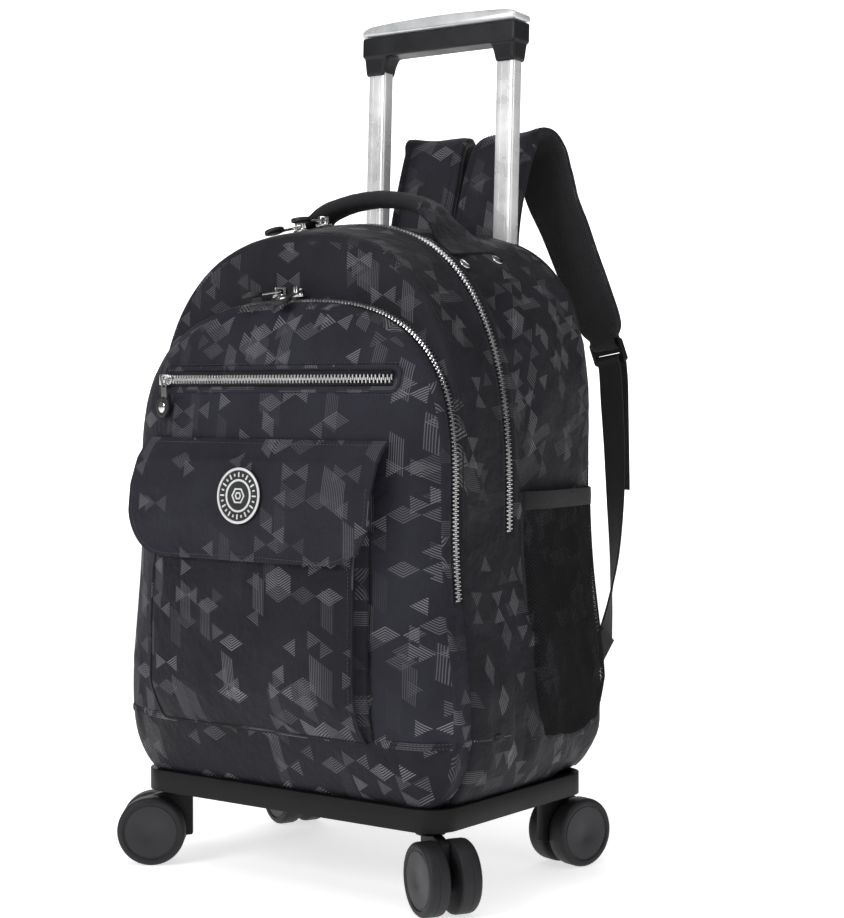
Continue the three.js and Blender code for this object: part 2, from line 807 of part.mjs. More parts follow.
// The right webbing's route below the adjuster, in the same shares from the strap's root.
const webbingRoute = [
  { x: 1.072, back: 1, up: -1.13, turn: -13 },
  { x: 1.126, back: 0.945, up: -1.522, turn: -18 },
  { x: 1.18, back: 0.857, up: -1.957, turn: -28 },
  { x: 1.243, back: 0.714, up: -2.365, turn: -45 },
  { x: 1.297, back: 0.527, up: -2.713, turn: -65 },
  { x: 1.333, back: 0.374, up: -2.939, turn: -80 },
];
const wingHeight = 62;
const tailLength = 118;

function webbingRows(hand) {
  const end = strapEnd(hand);
  const around = webbingThickness / 2 + gap;
  const barMiddle = lockHeight - lockBar / 2 + gap;
  const place = (down, off) =>
    end.at.clone().addScaledVector(end.down, down).addScaledVector(end.off, off);
  const row = (at, across, width = webbingWidth) => ({
    at,
    across,
    width,
    thickness: webbingThickness,
    flat: 0.2,
  });
  const face = lockThickness / 2 + around;
  const side = lockBar / 2;
  // The tail hangs on the strap's outer face, away from the bag.
  const tailTop = place(barMiddle + lockBar, face + 2);
  const tail = [1, 0.55, 0.15].map((share) =>
    row(tailTop.clone().add(vec(0, 5 * share, -share * tailLength)), end.across),
  );
  const fold = [
    row(place(barMiddle + side, face + 1), end.across),
    row(place(barMiddle - side, face + 0.8), end.across),
    row(place(barMiddle - side - 2.1, face - 1.2), end.across),
    row(place(barMiddle - side - 2.1, 1.2 - face), end.across),
    row(place(barMiddle - side, -face - 0.8), end.across),
    row(place(barMiddle + side * 3, -face - 1), end.across),
  ];
  const down = webbingRoute.map((r) =>
    row(strapPoint(hand, r), strapAcross(hand, r.turn)),
  );
  return [...tail, ...fold, ...down];
}

// A place on the dome's top and its outward direction in the front view.
function topPoint(x, y) {
  const here = bagArchAt(y);
  const slope = archTopZ(here, abs(x) + 0.5) - archTopZ(here, abs(x) - 0.5);
  return {
    at: vec(x, y, archTopZ(here, x)),
    normal: vec(-slope * sign(x), 0, 1).normalize(),
  };
}

// Carrying handle: a padded grip whose ends flare out flat over the bag's shoulders
const handleY = 19.5;
const handleStandOff = 1; // of its flat ends, over the curved cloth
const handleRise = 27; // its middle's centre above the bag's top
const handleReach = 103; // from its middle to each end
const handleWidth = 60; // of its flat ends
const handlePad = 15; // thickness of its grip

// Its rows as shares of handleReach, handleRise, handleWidth and handlePad
const handleRows = [
  { x: 1, lift: 0, width: 1, thickness: 0.2 },
  { x: 0.913, lift: 0, width: 1, thickness: 0.2 },
  { x: 0.806, lift: 0.074, width: 0.9, thickness: 0.3 },
  { x: 0.68, lift: 0.296, width: 0.7, thickness: 0.6 },
  { x: 0.515, lift: 0.519, width: 0.55, thickness: 0.933 },
  { x: 0.272, lift: 0.63, width: 0.517, thickness: 1 },
];

function carryHandle() {
  const half = handleRows.map((row) => {
    const width = row.width * handleWidth;
    const thickness = row.thickness * handlePad;
    const ends = [-0.5, 0.5].map((side) => topPoint(row.x * handleReach, handleY + side * width));
    const [front, rear] = ends;
    const across = row.lift < 0.2 ? rear.at.clone().sub(front.at) : vec(0, 1, 0);
    const off = handleStandOff + thickness / 2;
    const at = front.at.lerp(rear.at, 0.5).addScaledVector(front.normal, off);
    at.z += row.lift * handleRise;
    return { at, across, width, thickness };
  });
  const across = vec(0, 1, 0);
  const middle = {
    at: vec(0, handleY, bagTop + handleRise),
    across,
    width: handleWidth * 0.533,
    thickness: handlePad,
  };
  const mirrored = half.map((row) => ({ ...row, at: row.at.clone().multiply(vec(-1, 1, 1)) }));
  const rows = [...half, middle, ...mirrored.reverse()];
  return strapSolid(rows.map((row) => ({ ...row, flat: row.thickness < handlePad * 0.4 ? 0.2 : 0.7 })), 12);
}

// Hard pieces
function trayGeometry() {
  let tray = toSolid(slab(trayWidth, trayDepth, trayCorner, trayBottom, trayTop));
  const inset = (by, z0, z1) =>
    toSolid(slab(trayWidth - 2 * by, trayDepth - 2 * by, max(2, trayCorner - by), z0, z1));
  const underDeck = deckTop - deckThickness;
  tray = tray.subtract(inset(trayRimWidth, deckTop, trayTop + 1));
  tray = tray.subtract(inset(skirtWall, trayBottom - 1, underDeck));
  for (const [sx, sy] of casterSides) {
    const [x, y] = casterAxis(sx, sy);
    tray = tray.add(toSolid(pillar(bossRadius, trayBottom, underDeck + 1, x, y, 14)));
    tray = tray.subtract(
      toSolid(pillar(stemRadius + axleClearance, trayBottom - 1, trayBottom + stemLength + 1, x, y, 14)),
    );
  }
  for (const share of [-0.5, 0, 0.5]) {
    const length = trayDepth - 2 * skirtWall + 1;
    const rib = box(3, length, underDeck - trayBottom - 2, share * 0.5 * trayWidth, 0, 0);
    tray = tray.add(toSolid(moved(rib, 0, 0, (trayBottom + underDeck) / 2 + 1.5)));
  }
  return toGeometry(tray);
}

const casterSides = [
  [-1, -1],
  [1, -1],
  [1, 1],
  [-1, 1],
];
const casterAxis = (sx, sy) => [
  sx * (trayWidth / 2 - casterInset),
  sy * (trayDepth / 2 - casterInset),
];
// Which way each caster has swivelled: the direction of its trail, in degrees from +X.
const casters = [
  { name: "front_left", side: [-1, -1], trail: -142 },
  { name: "front_right", side: [1, -1], trail: -30 },
  { name: "rear_right", side: [1, 1], trail: 75 },
  { name: "rear_left", side: [-1, 1], trail: 158 },
];

// A caster's body: neck and stem on the swivel axis, a plate to the axle, with X along the trail.
function casterBody() {
  const neckLow = trayBottom - gap - casterNeckHeight;
  const neck = toSolid(pillar(casterNeck, neckLow, trayBottom - gap, 0, 0, 14));
  const stem = toSolid(pillar(stemRadius, trayBottom - gap - 1, trayBottom + stemLength - 1, 0, 0, 10));
  const profile = new THREE.Shape();
  profile.moveTo(-11, neckLow + 1);
  profile.lineTo(-11, wheelRadius - 6);
  profile.lineTo(casterTrail - 9, wheelRadius - 9);
  profile.absarc(casterTrail, wheelRadius, 11, -2.4, PI / 3);
  profile.lineTo(casterTrail + 6, neckLow - 3);
  profile.lineTo(casterTrail - 8, neckLow + 1);
  const plate = new THREE.ExtrudeGeometry(profile, {
    depth: webThickness,
    bevelEnabled: false,
    curveSegments: 5,
  });
  plate.translate(0, 0, -webThickness / 2);
  plate.rotateX(PI / 2);
  const axleLength = wheelSpread + 2 * wheelWidth - 8;
  const axle = new THREE.CylinderGeometry(axleRadius, axleRadius, axleLength, 12);
  axle.translate(casterTrail, 0, wheelRadius);
  return toGeometry(neck.add(stem).add(toSolid(plate)).add(toSolid(axle)));
}

// One wheel about Y, its outer face towards +Y: a rounded tyre and a recessed hub face. Its rim is a
// polygon whose flats lie at the wheel's radius, with one flat on the floor.
const wheelSides = 16;
const rimSlack = 1 / cos(PI / wheelSides);

function wheelGeometry() {
  const bore = axleRadius + axleClearance;
  const half = wheelWidth / 2;
  const points = [
    [bore, -half],
    [wheelRadius - 4, -half],
    [wheelRadius - 1, -half + 2],
    [wheelRadius, -half + 4],
    [wheelRadius, half - 6.5],
    [wheelRadius - 1.4, half - 3],
    [wheelRadius - 5, half - 0.4],
    [wheelRadius - 7, half],
    [wheelRadius - 8, half - 1.2],
    [0, half - 0.6],
    [0, half - 3.4],
    [bore, half - 3.4],
    [bore, -half],
  ].map(([r, y]) => new THREE.Vector2(r * rimSlack, y));
  const wheel = new THREE.LatheGeometry(points, wheelSides);
  return wheel.rotateY(PI / wheelSides);
}

// Pull handle, in the frame of its guides: Z up the tubes, from the tray's deck
function rectangularTube(width, depth, wall, z0, z1, radius) {
  const outer = toSolid(slab(width, depth, radius, z0, z1, 3));
  const hollow = slab(width - 2 * wall, depth - 2 * wall, max(0.8, radius - wall), z0 - 1, z1 + 1, 3);
  return toGeometry(outer.subtract(toSolid(hollow)));
}

const guideWidth = tubeWidth + 2 * (guideWall + gap);
const guideDepth = tubeDepth + 2 * (guideWall + gap);

function gripGeometry() {
  const leg = tubeWidth / 2 + gripLegWall;
  const [inner, outer] = [tubeHalfSpacing - leg, tubeHalfSpacing + leg];
  const low = gripFoot;
  const top = gripFoot + gripBarTop;
  const shape = new THREE.Shape();
  shape.moveTo(-outer, low);
  shape.lineTo(-gripHalfWidth, low + 0.65 * gripBarTop);
  shape.lineTo(-gripHalfWidth, top);
  shape.lineTo(gripHalfWidth, top);
  shape.lineTo(gripHalfWidth, low + 0.65 * gripBarTop);
  shape.lineTo(outer, low);
  shape.lineTo(inner, low);
  shape.lineTo(inner - 1, low + gripBarLow - 8);
  shape.quadraticCurveTo(inner - 2, low + gripBarLow, inner - 10, low + gripBarLow);
  shape.lineTo(-inner + 10, low + gripBarLow);
  shape.quadraticCurveTo(-inner + 2, low + gripBarLow, -inner + 1, low + gripBarLow - 8);
  shape.lineTo(-inner, low);
  const bar = frontExtrusion(shape, gripDepth - 2, 3);
  let grip = toSolid(bar);
  for (const side of [-1, 1]) {
    const socket = slab(tubeWidth + 2 * gap, tubeDepth + 2 * gap, 3 + gap, low - 5, low + socketDepth + gap, 3);
    grip = grip.subtract(toSolid(moved(socket, side * tubeHalfSpacing, 0, 0)));
  }
  const well = slab(
    buttonLength + 2 * gap,
    buttonWidth + 2 * gap,
    2,
    top - buttonTravel - 5,
    top + 5,
    3,
  );
  return toGeometry(grip.subtract(toSolid(well)));
}

// A front-view outline given in X and Z, raised along Y about its middle with rounded edges.
function frontExtrusion(shape, depth, bevel, curveSegments = 6) {
  const geometry = new THREE.ExtrudeGeometry(shape, {
    depth: depth - 2 * bevel,
    bevelEnabled: true,
    bevelThickness: bevel,
    bevelSize: bevel * 0.6,
    bevelOffset: -bevel * 0.6,
    bevelSegments: 2,
    curveSegments,
  });
  geometry.translate(0, 0, -depth / 2 + bevel);
  geometry.rotateX(PI / 2);
  return geometry;
}

const capLow = gripFoot + gripBarTop + gap;

function gripCapGeometry() {
  const half = gripHalfWidth + 0.5;
  const shape = new THREE.Shape();
  shape.moveTo(-half, capLow);
  shape.lineTo(-half, capLow + 5);
  shape.quadraticCurveTo(-half + 4, capLow + 9, -half + 12, capLow + 10);
  shape.quadraticCurveTo(0, capLow + 2 * gripCapRise - 10, half - 12, capLow + 10);
  shape.quadraticCurveTo(half - 4, capLow + 9, half, capLow + 5);
  shape.lineTo(half, capLow);
  const cap = toSolid(frontExtrusion(shape, gripDepth, 4, 8));
  const slot = slab(buttonLength + 2 * gap, buttonWidth + 2 * gap, 2, capLow - 5, capLow + 40, 3);
  return toGeometry(cap.subtract(toSolid(slot)));
}

function buttonGeometry() {
  const top = capLow + gripCapRise + 1.2;
  const low = gripFoot + gripBarTop - 4.4;
  return slab(buttonLength, buttonWidth, 2 - gap, low, top, 3);
}

// The sleeve behind the bag: open towards the bag, with holes where the tubes pass
function sleeveGeometry() {
  let sleeve = toSolid(bagHalf(rearY + gap, sleeveBackY));
  const lean = radians(leanDegrees);
  const passage = (side, width, depth, z0, z1) => {
    const hole = slab(width, depth, 3, z0, z1, 3);
    hole.translate(side * tubeHalfSpacing, 0, 0);
    hole.rotateX(-lean);
    return toSolid(moved(hole, 0, tubeFootY, deckTop));
  };
  for (const side of [-1, 1]) {
    sleeve = sleeve.subtract(passage(side, guideWidth + 2, guideDepth + 2, -passageOverlap, 2 * passageOverlap));
    sleeve = sleeve.subtract(passage(side, tubeWidth + 2, tubeDepth + 2, guideLength - passageOverlap, passageTop));
  }
  return toGeometry(sleeve);
}

const backPadArch = arch(
  bagHalfWidth - 46,
  bagBottom + 30,
  bagBottom + strapRoot,
  84,
  5,
  20,
  20,
);

// Back pad: a low cushion with rounded edges on the sleeve's back.
function backPad() {
  const middle = (backPadArch.top + backPadArch.bottom) / 2;
  const rows = [
    { share: 1, out: 0 },
    { share: 1, out: 0.45 },
    { share: 0.97, out: 0.85 },
    { share: 0.92, out: 1 },
    { share: 0.5, out: 1 },
  ];
  return ringSolid(
    rows.map(({ share, out }) =>
      archRing(backPadArch, backPadY + out * backPadThickness).map((p) =>
        vec(p.x * share, p.y, share === 1 ? p.z : middle + (p.z - middle) * share),
      ),
    ),
  );
}

// Anchor wing: a stitched triangle of cloth from the back seam to the webbing's lower end.
function wingGeometry(hand) {
  const rows = webbingRows(hand);
  const tip = rows[rows.length - 1].at;
  const across = rows[rows.length - 1].across;
  const [seamX, seamY] = [bagHalfWidth - 32, sleeveBackY + gap + 1.5];
  const low = vec(hand * seamX, seamY, bagBottom + 46);
  const high = vec(hand * seamX, seamY, bagBottom + 46 + wingHeight);
  const reach = tip.clone().sub(rows[rows.length - 2].at).normalize();
  const spread = across.clone().addScaledVector(reach, -across.dot(reach)).normalize();
  const end = tip.clone().addScaledVector(reach, gap + 0.1);
  const half = (-hand * webbingWidth) / 2;
  const columns = [0, 0.5, 1].map((t) => [
    low.clone().lerp(end.clone().addScaledVector(spread, half), t),
    high.clone().lerp(end.clone().addScaledVector(spread, -half), t),
  ]);
  const face = spread.cross(reach).multiplyScalar(webbingThickness / 2);
  const grid = (s) => columns.map((pair) => pair.map((p) => p.clone().addScaledVector(face, s)));
  return sheetSolid(grid(1), grid(-1));
}

// Colours
const finish = (color, roughness, metalness = 0) =>
  new THREE.MeshStandardMaterial({ color, roughness, metalness });
const printedCloth = finish(0x26262e, 0.7);
const blackCloth = finish(0x141416, 0.85);
const netMaterial = finish(0x17181a, 0.9);
const plastic = finish(0x1f2021, 0.5);
const rubber = finish(0x222226, 0.75);
const alloy = finish(0xd9dadd, 0.3, 0.9);
const chrome = finish(0xc9c9cc, 0.2, 1);
const gripPlastic = finish(0x3c4043, 0.5);
const silverPaint = finish(0xe4e6e8, 0.35, 0.3);

// Assembly
const backpack = new THREE.Group();
const model = new THREE.Group();
model.position.y = -frameCentreY;
backpack.add(model);

function add(name, geometry, material, parent = model) {
  const mesh = new THREE.Mesh(geometry, material);
  mesh.name = name;
  parent.add(mesh);
  return mesh;
}

add("base_tray", trayGeometry(), plastic);
add("bag_rear_shell", bagHalf(outerZipY + gap / 2, rearY), printedCloth);
add("bag_front_shell", bagHalf(outerZipY - gap / 2, frontY), printedCloth);
add("front_pocket", frontPocket(), printedCloth);
add("patch_pocket", patchPocket(), printedCloth);
add("pocket_flap", flap(), printedCloth);
add("tube_sleeve", sleeveGeometry(), printedCloth);
add("back_pad", backPad(), blackCloth);
add("outer_zip", archChain(bagArch, bagBottom + outerZipStart, outerZipY), chrome);
add("inner_zip", archChain(pocketArch, bagBottom + innerZipStart, innerZipY), chrome);
add("straight_zip", straightChain(), chrome);

const badge = add("badge", pillar(badgeRadius, 0, badgeThickness, 0, 0, 28), rubber);
const badgeAt = badgePlace();
badge.rotation.x = PI / 2 + badgeAt.tilt;
badge.position.set(0, badgeAt.y - gap, badgeZ);

// Where each slider sits: its chain's face at a place across, and how its pull lies.
const chainFace = {
  straight: (x) => vec(x, straightZipBed(x) - gap - chainThickness, straightZipZ),
  inner: (x) => vec(x, innerZipY, archTopZ(pocketArch, x) + gap + chainThickness),
  outer: (x) => vec(x, outerZipY, archTopZ(bagArch, x) + gap + chainThickness),
};
const sliders = [
  { name: "straight", chain: "straight", x: 10 - straightZipHalf, turn: 0, drop: 2 },
  { name: "inner_left", chain: "inner", x: -16, turn: -52, drop: 8 },
  { name: "inner_right", chain: "inner", x: 4, turn: 0, drop: 22 },
  { name: "outer_left", chain: "outer", x: -52, turn: -38, drop: 4 },
  { name: "outer_right", chain: "outer", x: -26, turn: -16, drop: 4 },
];
for (const { name, chain, x, turn, drop } of sliders) {
  const along = chainFace[chain](x + 3).sub(chainFace[chain](x - 3)).normalize();
  const out = (chain === "straight" ? vec(0, 0, 1) : vec(0, 1, 0)).cross(along).negate();
  const seat = new THREE.Group();
  const basis = new THREE.Matrix4().makeBasis(along, out.clone().cross(along), out);
  seat.quaternion.setFromRotationMatrix(basis);
  seat.position.copy(chainFace[chain](x)).addScaledVector(out, gap + sliderLift);
  model.add(seat);
  add(`slider_${name}`, toGeometry(sliderSolid(turn)), chrome, seat);
  const hinge = new THREE.Group();
  hinge.position.z = pinHeight;
  hinge.rotation.order = "ZXY";
  hinge.rotation.set(PI + radians(drop), 0, radians(turn));
  seat.add(hinge);
  add(`pull_${name}`, toGeometry(pullSolid().scale([1, 1, -1])), chrome, hinge);
}

for (const [side, hand] of [
  ["right", 1],
  ["left", -1],
]) {
  add(`net_pocket_${side}`, netPocket(hand), netMaterial);
  add(`shoulder_strap_${side}`, shoulderStrap(hand), blackCloth);
  const end = strapEnd(hand);
  const lock = add(`strap_lock_${side}`, toGeometry(lockSolid()), plastic);
  const turned = new THREE.Matrix4().makeBasis(end.across, end.down, end.off);
  lock.quaternion.setFromRotationMatrix(turned);
  lock.position.copy(end.at).addScaledVector(end.down, gap);
  add(`webbing_${side}`, strapSolid(webbingRows(hand), 8), blackCloth);
  add(`strap_wing_${side}`, wingGeometry(hand), blackCloth);
}

add("carry_handle", carryHandle(), blackCloth);
for (const [side, hand] of [
  ["right", 1],
  ["left", -1],
]) {
  for (const [place, y] of [
    ["front", -6],
    ["rear", 42],
  ]) {
    const { at, normal } = topPoint(hand * rivetX, y);
    const rivet = add(`rivet_${place}_${side}`, pillar(rivetRadius, 0, rivetHeight, 0, 0, 12), chrome);
    rivet.position.copy(at).addScaledVector(normal, gap);
    rivet.rotation.y = Math.atan2(normal.x, normal.z);
  }
}

// Pull handle
const trolley = new THREE.Group();
trolley.position.set(0, tubeFootY, deckTop + gap);
trolley.rotation.x = -radians(leanDegrees);
model.add(trolley);
for (const [side, hand] of [
  ["right", 1],
  ["left", -1],
]) {
  const x = hand * tubeHalfSpacing;
  const guide = rectangularTube(guideWidth, guideDepth, guideWall, 0.6, guideLength, 4);
  add(`tube_guide_${side}`, moved(guide, x, 0, 0), alloy, trolley);
  const tube = rectangularTube(tubeWidth, tubeDepth, tubeWall, tubeLow, gripFoot + socketDepth, 3.5);
  add(`pull_tube_${side}`, moved(tube, x, 0, 0), alloy, trolley);
}
add("grip", gripGeometry(), gripPlastic, trolley);
add("grip_cap", gripCapGeometry(), silverPaint, trolley);
add("grip_button", buttonGeometry(), plastic, trolley);

// Casters
for (const { name, side, trail } of casters) {
  const caster = new THREE.Group();
  const [x, y] = casterAxis(...side);
  caster.position.set(x, y, 0);
  caster.rotation.z = radians(trail);
  model.add(caster);
  add(`caster_${name}`, casterBody(), plastic, caster);
  for (const [face, hand] of [
    ["a", 1],
    ["b", -1],
  ]) {
    const wheel = add(`wheel_${name}_${face}`, wheelGeometry(), rubber, caster);
    wheel.position.set(casterTrail, (hand * (wheelSpread + wheelWidth)) / 2, wheelRadius);
    if (hand < 0) wheel.rotation.z = PI;
  }
}

export default backpack;
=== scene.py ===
import json
import math
from contextlib import contextmanager

import bmesh
import bpy
import numpy as np
from mathutils import Matrix, Vector, noise

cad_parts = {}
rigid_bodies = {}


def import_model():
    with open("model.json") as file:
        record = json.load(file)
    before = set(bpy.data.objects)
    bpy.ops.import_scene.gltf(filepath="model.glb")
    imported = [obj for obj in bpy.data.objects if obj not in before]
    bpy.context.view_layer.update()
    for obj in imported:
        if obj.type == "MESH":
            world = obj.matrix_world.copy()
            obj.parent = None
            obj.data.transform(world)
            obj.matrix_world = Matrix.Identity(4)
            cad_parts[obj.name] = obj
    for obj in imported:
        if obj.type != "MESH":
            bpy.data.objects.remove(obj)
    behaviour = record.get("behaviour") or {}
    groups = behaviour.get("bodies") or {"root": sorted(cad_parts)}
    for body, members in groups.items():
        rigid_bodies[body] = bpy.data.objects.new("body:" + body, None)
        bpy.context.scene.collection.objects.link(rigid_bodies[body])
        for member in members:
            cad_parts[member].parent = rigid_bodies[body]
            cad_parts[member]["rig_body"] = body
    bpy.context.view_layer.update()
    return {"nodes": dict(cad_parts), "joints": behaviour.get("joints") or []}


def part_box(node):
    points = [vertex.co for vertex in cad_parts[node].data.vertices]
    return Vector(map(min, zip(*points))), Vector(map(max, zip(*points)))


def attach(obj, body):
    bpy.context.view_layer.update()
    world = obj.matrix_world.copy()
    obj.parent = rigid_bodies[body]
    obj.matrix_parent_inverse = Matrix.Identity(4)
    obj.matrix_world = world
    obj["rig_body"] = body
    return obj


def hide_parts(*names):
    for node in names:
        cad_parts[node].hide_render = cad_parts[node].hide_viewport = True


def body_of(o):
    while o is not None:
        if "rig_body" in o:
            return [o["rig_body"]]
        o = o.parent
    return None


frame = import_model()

node = frame["nodes"]

# Lengths are millimetres about the middle of the tray, as in the part; meshes are in metres about the
# middle of the footprint.
MM = 0.001
FRAME_CENTRE_Y = 38.7

# The part's sizes
GAP = 0.3
DECK_TOP = 79.9
BAG_BOTTOM = 80.2
BAG_TOP = 559.2
BAG_HALF = 168
BELLY = 12
BELLY_TOP = 235
FOOT_HEIGHT = 46
FOOT_INSET = 22
FRONT_Y = -86
PANEL_MIDDLE = 300
BAG_CLOTH = 2.0
POCKET_CLOTH = 1.6
PATCH_CLOTH = 1.4
OUTER_ZIP_Y = -22
SLEEVE_BACK_Y = 127
POCKET_RIM_Y = -86.3
POCKET_EDGE_Y = -107
POCKET_BULGE = 36
POCKET = dict(half=164, bottom=84.7, top=493.2, shoulder=150, power=2.8)
POCKET_MIDDLE = 278.44
INNER_ZIP_Y = POCKET_RIM_Y - 6
PATCH_HALF = 119
PATCH_LOW, PATCH_HIGH = 140.2, 362.2
PATCH_DEPTH = 15
CLOTH = 2.5
FLAP_HALF = 130
FLAP_TOP = 378.2
FLAP_LENGTH = 99
FLAP_CORNER = 42
FLAP_THICK = 3
OUTER_ZIP_START = 302.2
INNER_ZIP_START = 250.2
STRAIGHT_Z = 427.2
STRAIGHT_HALF = 120
STRAIGHT_SHIFT = 6
BOOT_TOP = 138
TUBE_X = 72.8
TUBE_FOOT_Y = 95.5
LEAN = math.radians(2.25)


def mix(a, b, t):
    return a + (b - a) * t


def ease(low, high, value):
    """0 below low, 1 above high and a smooth step between."""
    t = np.clip((np.asarray(value, float) - low) / (high - low), 0, 1)
    return t * t * (3 - 2 * t)


# Outlines in the front view
def swell(z):
    share = np.clip((z - BAG_BOTTOM) / BELLY_TOP, 0, 1)
    return BELLY * np.sin(np.pi * share**0.6) ** 2


def arch_half_width(z, half, bottom, top, shoulder, power, foot=FOOT_HEIGHT, inset=FOOT_INSET):
    z = np.asarray(z, float)
    dome = np.clip((z - (top - shoulder)) / shoulder, 0, 1)
    domed = half * np.clip(1 - dome**power, 0, 1) ** (1 / power)
    low = np.clip((bottom + foot - z) / foot, 0, 1)
    plain = half + swell(z) - inset * (1 - np.sqrt(np.clip(1 - low**2, 0, 1)))
    return np.where(z > top - shoulder, domed, plain)


OUTLINE_STEPS = (8, 12, 46, 56)


def half_outline(half, bottom, top, shoulder, power):
    """Half of an arch from the bottom's middle, round the foot and side, to the top's middle."""
    flat, foot, side, dome = OUTLINE_STEPS
    foot_x = half - FOOT_INSET
    rows = [(foot_x * i / flat, bottom) for i in range(flat)]
    for i in range(foot):
        z = bottom + FOOT_HEIGHT * (1 - math.cos(i / foot * math.pi / 2))
        rows.append((float(arch_half_width(z, half, bottom, top, shoulder, power)), z))
    low, high = bottom + FOOT_HEIGHT, top - shoulder
    for i in range(side):
        z = mix(low, high, i / side)
        rows.append((float(arch_half_width(z, half, bottom, top, shoulder, power)), z))
    for i in range(dome + 1):
        angle = i / dome * math.pi / 2
        x = half * max(0.0, math.cos(angle)) ** (2 / power)
        rows.append((x if i < dome else 0.0, high + shoulder * math.sin(angle) ** (2 / power)))
    return np.array(rows)


def outline(half, bottom, top, shoulder, power):
    """The whole arch as a closed ring of (x, z), anticlockwise from the bottom's middle."""
    right = half_outline(half, bottom, top, shoulder, power)
    left = right[1:-1][::-1] * [-1, 1]
    return np.vstack([right, left])


def outward(ring):
    """Unit outward directions of a closed ring in the front view."""
    along = np.roll(ring, -1, 0) - np.roll(ring, 1, 0)
    along /= np.linalg.norm(along, axis=1)[:, None]
    return np.stack([along[:, 1], -along[:, 0]], 1)


def around(ring):
    """Signed distance along a closed ring from its top's middle, one value more than it has points."""
    loop = np.vstack([ring, ring[:1]])
    step = np.linalg.norm(np.diff(loop, axis=0), axis=1)
    walked = np.concatenate([[0], np.cumsum(step)])
    return walked - walked[sum(OUTLINE_STEPS)]


def bag_shape(y):
    """The bag's arch at a depth: rounded edges in front and behind, slightly narrower at the back."""
    side = np.interp(y, [-78, OUTER_ZIP_Y, 31, 84, 104], [1, 0, 2, 7, 9])
    top = np.interp(y, [-86, -78, -60, OUTER_ZIP_Y, 84, 104], [11.5, 9.5, 6.5, 0, 0.5, 1])
    shoulder = np.interp(y, [-86, -78, -47, 0, 31, 84, 127], [205, 220, 230, 230, 215, 200, 182])
    power = np.interp(y, [-86, -78, 0, 31, 84, 127], [2.6, 2.5, 2.5, 2.7, 2.85, 3.05])
    front = np.clip((-78 - y) / 8, 0, 1)
    round_front = 1 - np.sqrt(1 - front**2)
    back = np.clip((y - 104) / (SLEEVE_BACK_Y - 104), 0, 1)
    round_back = 1 - np.sqrt(1 - back**2)
    return dict(
        half=BAG_HALF - side - 4 * round_front - 13 * round_back,
        bottom=BAG_BOTTOM + 4.2 * float(ease(70, 84, y)),
        top=BAG_TOP - top - 5.5 * round_front - 13 * round_back,
        shoulder=shoulder,
        power=power,
    )


def inset_shape(shape, by):
    shrunk = dict(shape)
    shrunk.update(
        half=shape["half"] - by,
        bottom=shape["bottom"] + by,
        top=shape["top"] - by,
        shoulder=shape["shoulder"] - by,
    )
    return shrunk


# Soft relief
def rumple(x, y, z, size, seed=0.0):
    """Smooth noise, about -1 to 1, at a place given in millimetres."""
    return noise.noise(Vector((x / size + seed, y / size - seed, z / size + 0.5 * seed)))


def crease(x, y, z, size, seed=0.0):
    """Narrow ridges, 0 to 1."""
    return max(0.0, 1 - 3.2 * abs(rumple(x, y, z, size, seed))) ** 1.5


def panel_relief(x, z):
    """How far the front pocket's panel stands out from its plain form at a place."""
    soft = 2.2 * rumple(x, 0, z * 0.7, 95, 3.1) + 1.1 * rumple(x * 1.4, 0, z * 0.5, 38, 7.7)
    low = float(1 - ease(120, 330, z))
    lean = (x - 0.7 * (z - 140)) * 0.9
    side = abs(x) / 164
    folds = 4.0 * low * side**2 * crease(lean, 0, (z + x) * 0.25, 46, 1.3)
    top = 1.0 * float(ease(400, 470, z)) * crease(x * 0.35, 0, z, 30, 5.9)
    return soft + folds + top


def side_relief(u, y):
    """How far the bag's gussets stand out, by the distance round the bag from its top and the depth."""
    soft = 2.6 * rumple(u * 0.6, y, 0, 70, 11.0) + 1.3 * rumple(u * 1.3, y * 0.5, 0, 30, 4.0)
    down = float(ease(280, 480, abs(u)))
    folds = 3.0 * down * crease(u * 0.5 + y * 0.8, y * 0.5, 0, 40, 8.2)
    ripple = 1.4 * (1 - down) * crease(u, y * 0.3, 0, 34, 2.4)
    return soft + folds + ripple


JOIN = 0.02  # points of cloth nearer than this become one


@contextmanager
def editing(mesh):
    """Lends a mesh to bmesh and takes the changes back."""
    work = bmesh.new()
    work.from_mesh(mesh)
    yield work
    work.to_mesh(mesh)
    work.free()


def in_frame(points):
    """Places in millimetres about the tray's middle, in metres about the frame's origin."""
    return (np.asarray(points) - [0, FRAME_CENTRE_Y, 0]) * MM


def as_piece(name, data):
    piece = bpy.data.objects.new(name, data)
    bpy.context.collection.objects.link(piece)
    return piece


